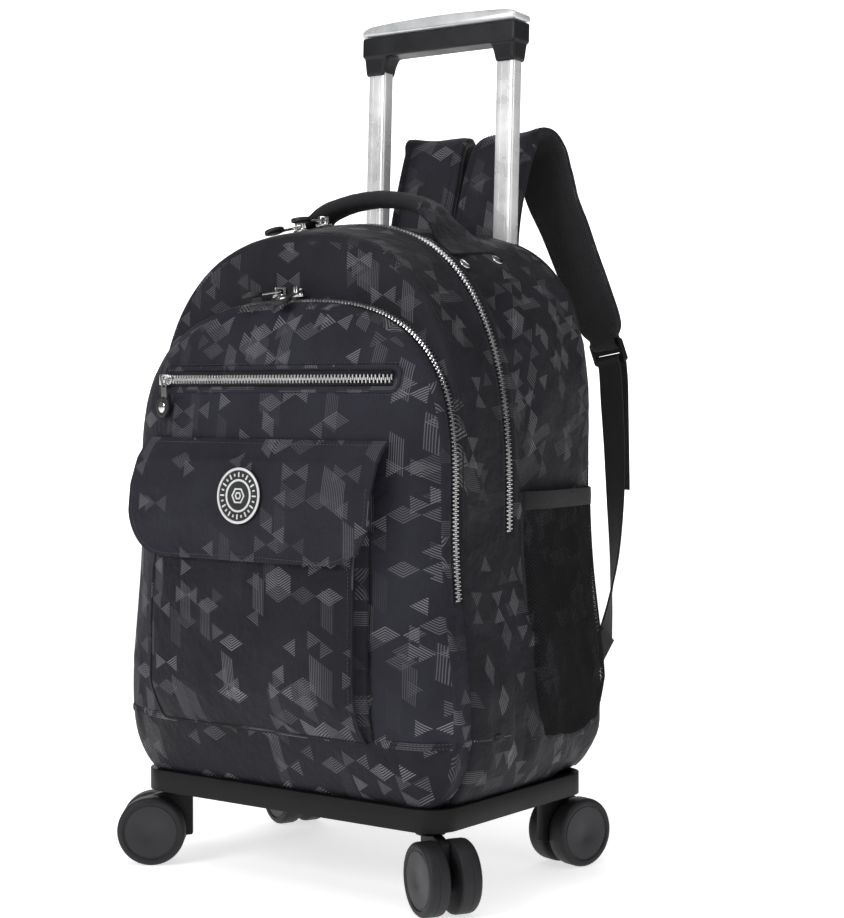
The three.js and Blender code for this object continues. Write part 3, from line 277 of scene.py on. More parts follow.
# Sewing: grids of cloth joined into one mesh, each with its own flat coordinates in metres
class Sewing:
    def __init__(self):
        self.points, self.faces, self.flats, self.slots = [], [], [], []
        self.count = 0

    def grid(self, points, flat, closed=False, flip=False, slot=0):
        points = np.asarray(points, float)
        rows, columns = points.shape[:2]
        flat = np.asarray(flat, float) * MM
        wide = columns if closed else columns - 1
        index = self.count + np.arange(rows * columns).reshape(rows, columns)
        right = np.roll(index, -1, 1)
        a, b = index[:-1, :wide], right[:-1, :wide]
        c, d = right[1:, :wide], index[1:, :wide]
        quads = np.stack([a, b, c, d], -1).reshape(-1, 4)
        corners = np.stack(
            [flat[:-1, :wide], flat[:-1, 1 : wide + 1], flat[1:, 1 : wide + 1], flat[1:, :wide]], 2
        ).reshape(-1, 4, 2)
        if flip:
            quads, corners = quads[:, ::-1], corners[:, ::-1]
        self._add(points.reshape(-1, 3), quads, corners, slot)

    def fan(self, ring, centre, flat, flip=False, slot=0):
        """Closes a ring on a middle point; flat gives a flat coordinate for each point and the middle."""
        ring = np.asarray(ring, float)
        count = len(ring)
        base = self.count
        points = np.vstack([ring, [centre]])
        flat = np.asarray(flat, float) * MM
        for i in range(count):
            j = (i + 1) % count
            face, corner = [base + i, base + j, base + count], [flat[i], flat[j], flat[count]]
            if flip:
                face, corner = face[::-1], corner[::-1]
            self.faces.append(face)
            self.flats.append(corner)
            self.slots.append(slot)
        self.points.append(points)
        self.count += len(points)

    def _add(self, points, quads, corners, slot):
        self.points.append(points)
        self.count += len(points)
        self.faces.extend(quads.tolist())
        self.flats.extend(corners.tolist())
        self.slots.extend([slot] * len(quads))

    def make(self, name, *materials):
        mesh = bpy.data.meshes.new(name)
        mesh.from_pydata(in_frame(np.vstack(self.points)).tolist(), [], self.faces)
        layer = mesh.uv_layers.new(name="flat")
        flats = np.array([c for face in self.flats for c in face], np.float32)
        layer.data.foreach_set("uv", flats.ravel())
        mesh.polygons.foreach_set("material_index", self.slots)
        mesh.polygons.foreach_set("use_smooth", [True] * len(self.faces))
        piece = as_piece(name, mesh)
        for material in materials:
            mesh.materials.append(material)
        with editing(mesh) as work:
            bmesh.ops.remove_doubles(work, verts=work.verts, dist=JOIN * MM)
        return piece


def select_only(piece):
    bpy.ops.object.select_all(action="DESELECT")
    piece.select_set(True)
    bpy.context.view_layer.objects.active = piece


def add_modifier(piece, kind, **settings):
    """Adds one modifier to a piece and applies it."""
    select_only(piece)
    modifier = piece.modifiers.new(kind.title(), kind)
    for key, value in settings.items():
        setattr(modifier, key, value)
    bpy.ops.object.modifier_apply(modifier=modifier.name)
    return piece


def open_up(piece):
    """Puts a piece in edit mode with all of it selected."""
    select_only(piece)
    bpy.ops.object.mode_set(mode="EDIT")
    bpy.ops.mesh.select_all(action="SELECT")


def block(place, size):
    bpy.ops.object.select_all(action="DESELECT")
    place, size = [v * MM for v in place], [v * MM for v in size]
    bpy.ops.mesh.primitive_cube_add(size=1, location=place, scale=size)
    bpy.ops.object.transform_apply(location=True, rotation=False, scale=True)
    return bpy.context.object


def cut_out(piece, cutter):
    """Cuts the shape of a block out of a piece."""
    select_only(piece)
    cut = piece.modifiers.new("Cut", "BOOLEAN")
    cut.operation, cut.object, cut.solver = "DIFFERENCE", cutter, "EXACT"
    bpy.ops.object.modifier_apply(modifier=cut.name)
    bpy.data.objects.remove(cutter)


def thicken(piece, wall):
    return add_modifier(piece, "SOLIDIFY", thickness=wall * MM, offset=-1.0)


def round_edges(piece, width, sharper_than):
    """Bevels the edges that turn by more than an angle in degrees."""
    limit = math.radians(sharper_than)
    add_modifier(piece, "BEVEL", width=width * MM, segments=2, limit_method="ANGLE", angle_limit=limit)


def settle(piece, body, slot, *replaced):
    """Puts a finished piece on its body and hides the solids that it stands for; slot, the finish's name, is
    not used.
    """
    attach(piece, body)
    if replaced:
        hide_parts(*replaced)
    return piece


# Finishes: one node tree each, built by small calls that return sockets
class Finish:
    def __init__(self, name, color, roughness, metallic=0.0, **sockets):
        self.material = bpy.data.materials.new(name)
        self.material.use_nodes = True
        self.tree = self.material.node_tree
        self.shader = self.tree.nodes["Principled BSDF"]
        self.shader.inputs["Base Color"].default_value = (*color, 1)
        self.shader.inputs["Roughness"].default_value = roughness
        self.shader.inputs["Metallic"].default_value = metallic
        for key, value in sockets.items():
            label = key.replace("_", " ").title().replace("Ior", "IOR")
            self.shader.inputs[label].default_value = value

    def add(self, kind, *inputs, output=0, **settings):
        made = self.tree.nodes.new("ShaderNode" + kind)
        for key, value in settings.items():
            setattr(made, key, value)
        for socket, value in zip(made.inputs, inputs):
            if value is None:
                continue
            if isinstance(value, bpy.types.NodeSocket):
                self.tree.links.new(value, socket)
            else:
                socket.default_value = value
        return made.outputs[output]

    def sum(self, operation, *inputs):
        return self.add("Math", *inputs, operation=operation)

    def blend(self, factor, a, b):
        """Mixes two colours by a factor."""
        made = self.tree.nodes.new("ShaderNodeMix")
        made.data_type = "RGBA"
        sockets = {s.identifier: s for s in made.inputs}
        for key, value in (("Factor_Float", factor), ("A_Color", a), ("B_Color", b)):
            if isinstance(value, bpy.types.NodeSocket):
                self.tree.links.new(value, sockets[key])
            else:
                sockets[key].default_value = value if key == "Factor_Float" else (*value, 1)
        return next(s for s in made.outputs if s.identifier == "Result_Color")

    def spread(self, value, low, high, to_low=0.0, to_high=1.0):
        return self.add("MapRange", value, low, high, to_low, to_high, clamp=True)

    def place(self):
        return self.tree.nodes.new("ShaderNodeTexCoord").outputs["Object"]

    def noise(self, vector, scale, detail=2.0, roughness=0.5):
        made = self.tree.nodes.new("ShaderNodeTexNoise")
        self.tree.links.new(vector, made.inputs["Vector"])
        made.inputs["Scale"].default_value = scale
        made.inputs["Detail"].default_value = detail
        made.inputs["Roughness"].default_value = roughness
        return made.outputs["Fac"]

    def split(self, vector):
        made = self.tree.nodes.new("ShaderNodeSeparateXYZ")
        self.tree.links.new(vector, made.inputs[0])
        return made.outputs[0], made.outputs[1], made.outputs[2]

    def laid_flat(self):
        """The cloth's own flat coordinates, in millimetres."""
        flat = self.add("UVMap", uv_map="flat")
        return self.split(self.add("VectorMath", flat, (1000, 1000, 1000), operation="MULTIPLY"))[:2]

    def chance(self, x, y, z):
        """A random number from 0 to 1 for each place given by three numbers."""
        joined = self.add("CombineXYZ", x, y, z)
        made = self.tree.nodes.new("ShaderNodeTexWhiteNoise")
        made.noise_dimensions = "3D"
        self.tree.links.new(joined, made.inputs["Vector"])
        return made.outputs["Value"]

    def relief(self, height, distance, strength=1.0):
        made = self.tree.nodes.new("ShaderNodeBump")
        made.inputs["Strength"].default_value = strength
        made.inputs["Distance"].default_value = distance
        self.tree.links.new(height, made.inputs["Height"])
        before = self.shader.inputs["Normal"].links
        if before:
            self.tree.links.new(before[0].from_socket, made.inputs["Normal"])
        self.tree.links.new(made.outputs["Normal"], self.shader.inputs["Normal"])

    def use(self, socket, name):
        self.tree.links.new(socket, self.shader.inputs[name])
        return self


def weave(f, x, y, pitch):
    """The height of a plain weave: crossed threads at a pitch in millimetres."""
    turn = 2 * math.pi / pitch
    warp = f.sum("SINE", f.sum("MULTIPLY", x, turn))
    weft = f.sum("SINE", f.sum("MULTIPLY", y, turn))
    return f.sum("MULTIPLY", warp, weft)


CELL = 12.6  # spacing of the print's slanted grid
LINE_PITCH = 1.85
PRINT_GREY = (0.215, 0.215, 0.23)
COS30 = math.cos(math.radians(30))


def printed_lines(f, x, y):
    """Brightness of the line print: chevrons, triangles and bars on a slanted grid, each by chance."""
    lines = CELL / LINE_PITCH

    def slanted(px, py, sign):
        across = f.sum("MULTIPLY", px, 0.5 * sign / CELL)
        return f.sum("MULTIPLY_ADD", py, COS30 / CELL, across)

    def ruled(value):
        part = f.sum("FRACT", f.sum("MULTIPLY", value, lines))
        return f.spread(part, 0.36, 0.5, 1.0, 0.0)

    def lit(identity, share, dim):
        shown = f.sum("LESS_THAN", identity, share)
        tone = f.spread(identity, 0.0, share, 1.0, dim)
        return f.sum("MULTIPLY", shown, tone)

    def floor(value):
        return f.sum("FLOOR", value)

    # Chevrons: the grid is folded about columns two cells wide
    folded = f.sum("PINGPONG", x, CELL)
    column = floor(f.sum("MULTIPLY", x, 0.5 / CELL))
    rising, falling = slanted(folded, y, 1), slanted(folded, y, -1)
    which = f.chance(column, floor(rising), floor(falling))
    chevrons = f.sum("MULTIPLY", ruled(rising), lit(which, 0.13, 0.25))
    # Triangles, ruled along one of two sides
    tx, ty = f.sum("ADD", x, 171.3), f.sum("ADD", y, 93.7)
    upright = f.sum("DIVIDE", tx, CELL)
    up, down = slanted(tx, ty, 1), slanted(tx, ty, -1)
    here = f.chance(floor(upright), floor(up), f.sum("ADD", floor(down), 0.5))
    side = f.sum("LESS_THAN", f.sum("FRACT", f.sum("MULTIPLY", here, 97.0)), 0.5)
    either = f.add("Mix", side, None, ruled(up), ruled(down), data_type="FLOAT")
    triangles = f.sum("MULTIPLY", either, lit(here, 0.05, 0.25))
    # Upright bars in leaning cells
    bx = f.sum("DIVIDE", f.sum("ADD", x, 57.9), CELL * 0.92)
    by = slanted(f.sum("ADD", x, 57.9), f.sum("ADD", y, 31.1), 1)
    spot = f.chance(floor(bx), f.sum("ADD", floor(f.sum("MULTIPLY", by, 0.5)), 0.25), 3.5)
    bars = f.sum("MULTIPLY", ruled(bx), lit(spot, 0.14, 0.1))
    return f.sum("MAXIMUM", chevrons, f.sum("MAXIMUM", triangles, f.sum("MULTIPLY", bars, 0.6)))


def printed_cloth(name, dark, strength=1.0, offset=(0.0, 0.0)):
    """Dark nylon with a fine weave and a grey line print, laid out by the cloth's own coordinates."""
    f = Finish(name, dark, 0.6, sheen_weight=0.03, sheen_roughness=0.4, specular_ior_level=0.12)
    x, y = f.laid_flat()
    x, y = f.sum("ADD", x, offset[0]), f.sum("ADD", y, offset[1])
    cloudy = f.noise(f.place(), 16.0, 3.0)
    tint = [c * 1.35 + 0.002 for c in dark]
    ground = f.blend(f.spread(cloudy, 0.35, 0.65), dark, tint)
    fading = f.spread(f.noise(f.place(), 9.0, 2.0), 0.3, 0.6, 0.45, 1.0)
    print_tone = f.sum("MULTIPLY", printed_lines(f, x, y), f.sum("MULTIPLY", fading, strength))
    f.use(f.blend(print_tone, ground, PRINT_GREY), "Base Color")
    f.use(f.spread(cloudy, 0.3, 0.7, 0.52, 0.66), "Roughness")
    f.relief(weave(f, x, y, 0.55), 0.00006, 0.5)
    f.relief(f.noise(f.place(), 150.0, 3.0, 0.6), 0.0007, 0.7)
    f.relief(f.noise(f.place(), 40.0, 3.0, 0.55), 0.005, 0.8)
    return f.material


def plain_cloth(name, color, pitch, bump=0.00015):
    """Black woven cloth with no print."""
    f = Finish(name, color, 0.8, sheen_weight=0.06, sheen_roughness=0.5, specular_ior_level=0.2)
    x, y = f.laid_flat()
    threads = weave(f, x, y, pitch)
    worn = f.noise(f.place(), 30.0, 3.0)
    tint = [c * 1.7 + 0.003 for c in color]
    f.use(f.blend(f.spread(worn, 0.35, 0.7), color, tint), "Base Color")
    f.use(f.spread(threads, -1, 1, 0.7, 0.9), "Roughness")
    f.relief(threads, bump, 0.8)
    return f.material


def ribbed_webbing(name, color):
    """Woven webbing: ribs across, with a fine herringbone along."""
    f = Finish(name, color, 0.7, sheen_weight=0.06, specular_ior_level=0.25)
    x, y = f.laid_flat()
    slant = f.sum("ADD", f.sum("PINGPONG", x, 1.6), f.sum("MULTIPLY", y, 1.0))
    ribs = f.sum("SINE", f.sum("MULTIPLY", slant, 2 * math.pi / 1.4))
    # The colour follows the ribs, lighter on their crests than in their grooves: painted light and shade
    # over the relief.
    tint = [c * 2.2 + 0.004 for c in color]
    f.use(f.blend(f.spread(ribs, -0.6, 1), color, tint), "Base Color")
    f.relief(ribs, 0.0003, 0.8)
    return f.material


def air_mesh(name, color):
    """Knitted spacer mesh: rows of small round holes."""
    f = Finish(name, color, 0.85, sheen_weight=0.05, specular_ior_level=0.15)
    x, y = f.laid_flat()
    row = f.sum("FLOOR", f.sum("DIVIDE", y, 1.7))
    shift = f.sum("MULTIPLY", f.sum("MODULO", row, 2.0), 0.5)
    across = f.sum("SUBTRACT", f.sum("FRACT", f.sum("ADD", f.sum("DIVIDE", x, 2.0), shift)), 0.5)
    along = f.sum("SUBTRACT", f.sum("FRACT", f.sum("DIVIDE", y, 1.7)), 0.5)
    far = f.sum("ADD", f.sum("MULTIPLY", across, across), f.sum("MULTIPLY", along, along))
    knit_and_hole_shade = f.spread(far, 0.03, 0.14)
    tint = [c * 2.0 + 0.006 for c in color]
    # The colour follows the knit: the holes are painted far darker than the thread, as painted shade in the
    # holes.
    f.use(f.blend(knit_and_hole_shade, [c * 0.3 for c in color], tint), "Base Color")
    f.relief(knit_and_hole_shade, 0.0005, 0.8)
    return f.material


def moulded(name, color, roughness, grain=0.00012, scale=900.0, metallic=0.0, **sockets):
    """Moulded plastic, rubber or lacquer: fine grain and slightly uneven gloss."""
    f = Finish(name, color, roughness, metallic, **sockets)
    where = f.place()
    cloud = f.noise(where, 35.0, 3.0)
    tint = [min(1.0, c * 1.25 + 0.002) for c in color]
    f.use(f.blend(f.spread(cloud, 0.35, 0.65), color, tint), "Base Color")
    spread = 0.07 if roughness > 0.2 else 0.03
    f.use(f.spread(cloud, 0.3, 0.7, roughness - spread, roughness + spread), "Roughness")
    f.relief(f.noise(where, scale, 2.0), grain, 0.5)
    return f.material


def polished(name, color, roughness):
    """Bright metal with faint smears."""
    f = Finish(name, color, roughness, 1.0)
    smear = f.noise(f.place(), 60.0, 3.0)
    f.use(f.spread(smear, 0.3, 0.7, roughness * 0.75, roughness * 1.35), "Roughness")
    tint = [c * 0.86 for c in color]
    f.use(f.blend(f.spread(smear, 0.4, 0.75), color, tint), "Base Color")
    return f.material


DARK = (0.0165, 0.0162, 0.0228)
print_front = printed_cloth("printed_nylon", DARK)
# A darker copy of the print, with fainter lines, for the bag's body: painted shade for the sides that face
# away from the key lamp.
print_side_painted_shade = printed_cloth("printed_nylon_side", (0.0138, 0.0134, 0.0172), 0.8, (400.0, 210.0))
print_flap = printed_cloth("printed_nylon_flap", DARK, 1.0, (613.0, 77.0))
# A darker copy of the print, with its own print offset, for the patch pocket: the darker tone is painted
# shade, low on the front and under the flap.
print_patch_painted_shade = printed_cloth("printed_nylon_patch", (0.0122, 0.0119, 0.0158), 1.0, (151.0, 502.0))
# A darker copy of the print, with fainter lines, for the boot: a panel of its own with its own print offset,
# and its darker tone is painted shade low on the bag.
print_boot_painted_shade = printed_cloth("printed_nylon_boot", (0.0122, 0.0119, 0.0158), 0.9, (902.0, 31.0))
print_strap = printed_cloth("printed_nylon_strap", (0.018, 0.0175, 0.0235), 1.0, (40.0, 811.0))
black_tape = plain_cloth("black_zip_tape", (0.006, 0.006, 0.0065), 1.0)
black_cloth = plain_cloth("black_polyester", (0.011, 0.011, 0.0125), 1.1)
webbing_finish = ribbed_webbing("black_webbing_weave", (0.009, 0.009, 0.010))
mesh_finish = air_mesh("black_air_mesh", (0.014, 0.0142, 0.0155))
net_finish = plain_cloth("black_net_cord", (0.009, 0.0092, 0.0095), 0.6)
thread_finish = plain_cloth("grey_thread", (0.055, 0.055, 0.06), 0.35, 0.0001)
dark_thread = plain_cloth("dark_thread", (0.022, 0.022, 0.025), 0.35, 0.0001)
silver_teeth = polished("silver_zip_teeth", (0.86, 0.86, 0.87), 0.28)
nickel = polished("polished_nickel", (0.78, 0.77, 0.76), 0.14)
tray_plastic = moulded(
    "black_textured_plastic", (0.006, 0.0062, 0.0068), 0.55, 0.0002, 700.0, specular_ior_level=0.2
)
caster_plastic = moulded("caster_plastic", (0.008, 0.008, 0.009), 0.5, specular_ior_level=0.2)
tyre_rubber = moulded("tyre_rubber", (0.014, 0.0138, 0.016), 0.55, specular_ior_level=0.3)
hub_plastic = moulded("hub_plastic", (0.021, 0.0205, 0.024), 0.45, specular_ior_level=0.35)
grip_plastic = moulded("grip_plastic", (0.010, 0.0102, 0.012), 0.4, specular_ior_level=0.3)
cap_lacquer = moulded("silver_lacquer", (0.62, 0.63, 0.64), 0.3, 0.00003, 1500.0, 0.35, coat_weight=0.4)
anodised = moulded("anodised_aluminium", (0.8, 0.805, 0.81), 0.3, 0.00002, 1500.0, 0.4, coat_weight=0.3)
badge_black = moulded("badge_black", (0.009, 0.0095, 0.0105), 0.5)
badge_white = moulded("badge_white", (0.62, 0.62, 0.62), 0.55)


# The bag's body
def ring_rows(shapes, depths, lift):
    """Rings of points at depths, each moved outwards by lift(distance round, depth, height)."""
    rows = []
    for shape, y in zip(shapes, depths):
        ring = outline(**shape)
        normal = outward(ring)
        reach = around(ring)[:-1]
        out = np.array([lift(u, y, z) for u, z in zip(reach, ring[:, 1])])
        moved = ring + normal * out[:, None]
        rows.append(np.stack([moved[:, 0], np.full(len(ring), y), moved[:, 1]], 1))
    return np.array(rows)


TAPE_HALF = 6.8
HEM_RISE, HEM_AWAY, HEM_SPREAD = 0.9, 9.2, 1.7
CHANNEL_DEPTH = 1.7


def zip_channel(distance, z, start):
    """Cloth near a zip: a hem on each side and a shallow channel for its tape, above its lower end."""
    above = float(ease(start - 3, start + 1, z))
    away = abs(distance)
    hem = HEM_RISE * math.exp(-(((away - HEM_AWAY) / HEM_SPREAD) ** 2))
    channel = -CHANNEL_DEPTH * (1 - float(ease(TAPE_HALF, TAPE_HALF + 0.9, away)))
    return above * (hem + channel)


def calm(z):
    """Fades soft relief out where the bag sits on its tray."""
    return float(ease(BAG_BOTTOM + 2, BAG_BOTTOM + 40, z))


def body_lift(u, y, z):
    near_zip = float(ease(8, 18, abs(y - OUTER_ZIP_Y)))
    edges = float(ease(0, 14, y - FRONT_Y)) * float(ease(0, 16, SLEEVE_BACK_Y - y))
    under_handle = 1 - 0.8 * float(ease(150, 60, abs(u)))
    soft = side_relief(u, y) * calm(z) * near_zip * edges * under_handle
    return soft + zip_channel(y - OUTER_ZIP_Y, z, OUTER_ZIP_START)


def body_depths():
    front = [FRONT_Y + 8 * (1 - math.cos(i / 6 * math.pi / 2)) for i in range(7)]
    middle = list(np.linspace(-78, -38, 9)[1:])
    near = [1.5, 4.5, 6.2, 6.8, 7.3, 7.8, 8.5, 9.3, 10.4, 11.8, 13.6]
    near = [-d for d in near[::-1]] + near
    zone = [OUTER_ZIP_Y + d for d in near]
    rear = list(np.linspace(-6, 104, 26)[1:])
    back = [SLEEVE_BACK_Y - 23 * (1 - math.sin(i / 7 * math.pi / 2)) for i in range(1, 8)]
    return front + middle + zone + rear + back


def shrunk_ring(ring, middle, share):
    return np.stack([ring[:, 0] * share, middle + (ring[:, 1] - middle) * share], 1)


def end_cap(work, ring, y, middle, depth_at, flip, shares):
    """A panel that closes a ring: rings drawn in to its middle, with depth_at(x, z) for its form."""
    rows, flats = [], []
    for share in shares:
        here = shrunk_ring(ring, middle, share)
        depth = np.array([depth_at(x, z, share) for x, z in here]) if share < 1 else np.full(len(here), y)
        rows.append(np.stack([here[:, 0], depth, here[:, 1]], 1))
        flats.append(np.vstack([here, here[:1]]))
    work.grid(rows, flats, closed=True, flip=flip)
    last = rows[-1]
    centre = last.mean(0)
    work.fan(last, centre, np.vstack([flats[-1][:-1], [centre[[0, 2]]]]), flip=flip)


def make_bag():
    depths = body_depths()
    shapes = [bag_shape(y) for y in depths]
    rows = ring_rows(shapes, depths, body_lift)
    reach = around(outline(**bag_shape(OUTER_ZIP_Y)))
    flats = np.array([[(u, y) for u in reach] for y in depths])
    work = Sewing()
    work.grid(rows, flats, closed=True)
    front, back = rows[0][:, [0, 2]], rows[-1][:, [0, 2]]
    shares = [1, 0.99, 0.975, 0.955, 0.93, 0.9, 0.86, 0.8, 0.7, 0.55, 0.35, 0.15]

    def front_depth(x, z, share):
        band = math.sin(math.pi * min(1, (1 - share) / 0.2)) if share > 0.8 else 0
        return FRONT_Y - (2.0 + 1.5 * rumple(x, 0, z, 40, 2.2)) * band * float(ease(300, 500, z))

    def back_depth(x, z, share):
        return SLEEVE_BACK_Y - 0.2 * rumple(x, 0, z, 50, 6.1)

    end_cap(work, front, FRONT_Y, PANEL_MIDDLE, front_depth, True, shares)
    end_cap(work, back, SLEEVE_BACK_Y, PANEL_MIDDLE, back_depth, False, shares)
    bag = work.make("bag_body", print_side_painted_shade)
    return thicken(bag, BAG_CLOTH)


def pocket_share(x, z):
    """At which share of the front pocket's outline a place lies."""
    low, high = 0.01, 1.0
    for _ in range(22):
        middle = (low + high) / 2
        height = POCKET_MIDDLE + (z - POCKET_MIDDLE) / middle
        inside = POCKET["bottom"] <= height <= POCKET["top"] and abs(x) / middle <= float(
            arch_half_width(height, **POCKET)
        )
        low, high = (low, middle) if inside else (middle, high)
    return high


def pocket_swell(share):
    return POCKET_BULGE * max(0.0, 1 - share**3.2) ** 0.8


def panel_y(x, z, relief=True):
    """Depth of the front pocket's panel at a place in the front view."""
    share = pocket_share(x, z)
    fade = float(ease(1.0, 0.9, share)) * calm(z)
    return POCKET_EDGE_Y - pocket_swell(share) - (panel_relief(x, z) * fade if relief else 0)


def pocket_shape(y, inset=0.0):
    """The front pocket's arch at a depth: its top slopes down to the front."""
    slope = 7.0 * min(1.0, max(0.0, (POCKET_RIM_Y - 1 - y) / 19))
    shape = inset_shape(POCKET, inset)
    shape["top"] -= slope
    shape["shoulder"] -= slope
    return shape


def make_front_pocket():
    steps = (0, 0.4, 0.7, 1.0, 1.6, 3, 9, 12.2, 12.8, 13.3, 13.9, 14.7, 15.6, 17.0, 18.6)
    depths = [POCKET_RIM_Y - d for d in steps]
    depths += [POCKET_EDGE_Y + d for d in (1.2, 0.4, 0.0)]
    insets = [0.6, 0.1, 0, 0, 0, 0, 0, 0, 0, 0, 0, 0, 0, 0, 0.15, 0.6, 1.3, 2.0]
    shapes = [pocket_shape(y, i) for y, i in zip(depths, insets)]

    def lift(u, y, z):
        soft = 0.5 * side_relief(u * 1.1, y * 2) * float(ease(-98, -102, y)) * float(ease(-107, -104, y))
        return soft * calm(z) + zip_channel(y - INNER_ZIP_Y, z, INNER_ZIP_START)

    rows = ring_rows(shapes, depths, lift)
    reach = around(outline(**POCKET))
    flats = np.array([[(u, y) for u in reach] for y in depths])
    work = Sewing()
    work.grid(rows, flats, closed=True, flip=True)
    edge = rows[-1][:, [0, 2]]
    shares = [1 - (i / 46) ** 1.7 * 0.985 for i in range(47)]

    def depth(x, z, share):
        fade = float(ease(1.0, 0.9, share)) * calm(z)
        return POCKET_EDGE_Y - pocket_swell(share) - panel_relief(x, z) * fade

    end_cap(work, edge, POCKET_EDGE_Y, POCKET_MIDDLE, depth, True, shares)
    pocket = work.make("front_pocket_cloth", print_front)
    return thicken(pocket, POCKET_CLOTH)


# Strips that follow a path: tape, hems, piping, teeth and stitches
def unit(v):
    return v / (np.linalg.norm(v, axis=-1, keepdims=True) + 1e-12)


def facing(direction, count):
    """One direction, once for each of count places."""
    return np.tile(np.array(direction, float), (count, 1))


def resample(points, normals, pitch):
    """Evenly spaced places on a path, with their outward and forward directions."""
    points, normals = np.asarray(points, float), np.asarray(normals, float)
    step = np.linalg.norm(np.diff(points, axis=0), axis=1)
    walked = np.concatenate([[0], np.cumsum(step)])
    count = max(2, int(round(walked[-1] / pitch)) + 1)
    at = np.linspace(0, walked[-1], count)
    place = np.stack([np.interp(at, walked, points[:, k]) for k in range(3)], 1)
    out = unit(np.stack([np.interp(at, walked, normals[:, k]) for k in range(3)], 1))
    ahead = unit(np.gradient(place, axis=0))
    out = unit(out - ahead * (out * ahead).sum(1)[:, None])
    return place, out, ahead, at


def close_ends(work, rows, sides):
    """Closes both ends of a tube of cloth."""
    for row, flip in ((rows[0], True), (rows[-1], False)):
        work.fan(row, row.mean(0), np.zeros((sides + 1, 2)), flip=flip)


def strip(name, points, normals, width, thick, material, pitch=4.0, lift=0.0, dome=0.0):
    """A closed flat strip along a path, its middle raised by dome."""
    place, out, ahead, at = resample(points, normals, pitch)
    side = np.cross(ahead, out)
    half, low, high = width / 2, lift, lift + thick
    section = [(-half, low), (half, low), (half, high - 0.3), (half - 0.4, high)]
    section += [(0, high + dome), (-half + 0.4, high), (-half, high - 0.3)]
    rows = np.stack([place + side * s + out * h for s, h in section], 1)
    spread = np.array([s for s, _ in section] + [section[0][0]])
    flats = np.array([[(s, a) for s in spread] for a in at])
    work = Sewing()
    work.grid(rows, flats, closed=True)
    close_ends(work, rows, len(section))
    return facing_out(work.make(name, material))


def cord_along(name, points, normals, radius, material, pitch=4.0, lift=0.0, sides=8):
    """A round cord along a path."""
    place, out, ahead, at = resample(points, normals, pitch)
    side = np.cross(ahead, out)
    turns = np.arange(sides) / sides * 2 * math.pi
    rows = np.stack(
        [place + out * lift + radius * (side * math.cos(t) + out * math.sin(t)) for t in turns], 1
    )
    flats = np.array([[(radius * t, a) for t in [*turns, 2 * math.pi]] for a in at])
    work = Sewing()
    work.grid(rows, flats, closed=True)
    close_ends(work, rows, sides)
    return facing_out(work.make(name, material))


def facing_out(piece):
    """Turns a closed piece's faces outwards."""
    with editing(piece.data) as work:
        bmesh.ops.recalc_face_normals(work, faces=work.faces)
    return piece


def repeated(name, form, faces, places, material):
    """Many copies of one small form; places are (origin, x, y, z directions)."""
    form = np.asarray(form, float)
    points = np.vstack([o + form @ np.array([x, y, z]) for o, x, y, z in places])
    size = len(form)
    all_faces = [[i + k * size for i in face] for k in range(len(places)) for face in faces]
    mesh = bpy.data.meshes.new(name)
    mesh.from_pydata(in_frame(points).tolist(), [], all_faces)
    mesh.materials.append(material)
    mesh.uv_layers.new(name="flat")
    mesh.polygons.foreach_set("use_smooth", [False] * len(all_faces))
    piece = as_piece(name, mesh)
    return facing_out(piece)


# One tooth: its base, shoulders and narrower top, about the middle of the chain, reaching to +X
TOOTH = [
    (-1.0, -0.62, 0.1), (3.7, -0.72, 0.1), (3.7, 0.72, 0.1), (-1.0, 0.62, 0.1),
    (-1.2, -0.62, 1.5), (3.7, -0.72, 1.5), (3.7, 0.72, 1.5), (-1.2, 0.62, 1.5),
    (-0.8, -0.35, 2.3), (3.2, -0.42, 2.3), (3.2, 0.42, 2.3), (-0.8, 0.35, 2.3),
]
TOOTH_FACES = [
    (3, 2, 1, 0), (0, 1, 5, 4), (1, 2, 6, 5), (2, 3, 7, 6), (3, 0, 4, 7),
    (4, 5, 9, 8), (5, 6, 10, 9), (6, 7, 11, 10), (7, 4, 8, 11), (8, 9, 10, 11),
]
STITCH = [
    (-1.25, 0, 0), (-0.8, -0.34, 0.05), (0.8, -0.34, 0.05), (1.25, 0, 0), (0.8, 0.34, 0.05),
    (-0.8, 0.34, 0.05), (-0.7, 0, 0.42), (0.7, 0, 0.42), (0, 0, -0.5),
]
STITCH_PITCH = 3.2
FINE_PITCH = 3.4
STITCH_FACES = [
    (0, 1, 6), (1, 2, 7, 6), (2, 3, 7), (3, 4, 7), (4, 5, 6, 7), (5, 0, 6),
    (1, 0, 8), (2, 1, 8), (3, 2, 8), (4, 3, 8), (5, 4, 8), (0, 5, 8),
]


def teeth(name, points, normals, lift, pitch=1.66):
    place, out, ahead, _ = resample(points, normals, pitch)
    side = np.cross(ahead, out)
    places = []
    for i, (p, o, a, s) in enumerate(zip(place, out, ahead, side)):
        hand = 1 if i % 2 else -1
        places.append((p + o * lift, s * hand, a, o))
    return repeated(name, TOOTH, TOOTH_FACES, places, silver_teeth)


def stitches(name, paths, pitch=STITCH_PITCH, material=thread_finish, lift=0.0):
    places = []
    for points, normals in paths:
        place, out, ahead, _ = resample(points, normals, pitch)
        side = np.cross(out, ahead)
        places += [(p + o * lift, a, s, o) for p, o, a, s in zip(place, out, ahead, side)]
    return repeated(name, STITCH, STITCH_FACES, places, material)


def arch_path(shape_at, y, low, offset=0.0):
    """The part of an arch above a height, right to left, at a depth, with its outward directions."""
    ring = outline(**shape_at(y))
    normal = outward(ring)
    rise = ((outline(**shape_at(y + 2)) - outline(**shape_at(y - 2))) * normal).sum(1) / 4
    top = sum(OUTLINE_STEPS)
    keep = [i for i in range(len(ring)) if ring[i, 1] >= low and abs(i - top) < top - OUTLINE_STEPS[0]]
    points = np.array([(ring[i, 0], y, ring[i, 1]) for i in keep])
    normals = unit(np.array([(normal[i, 0], -rise[i], normal[i, 1]) for i in keep]))
    return points + normals * offset, normals


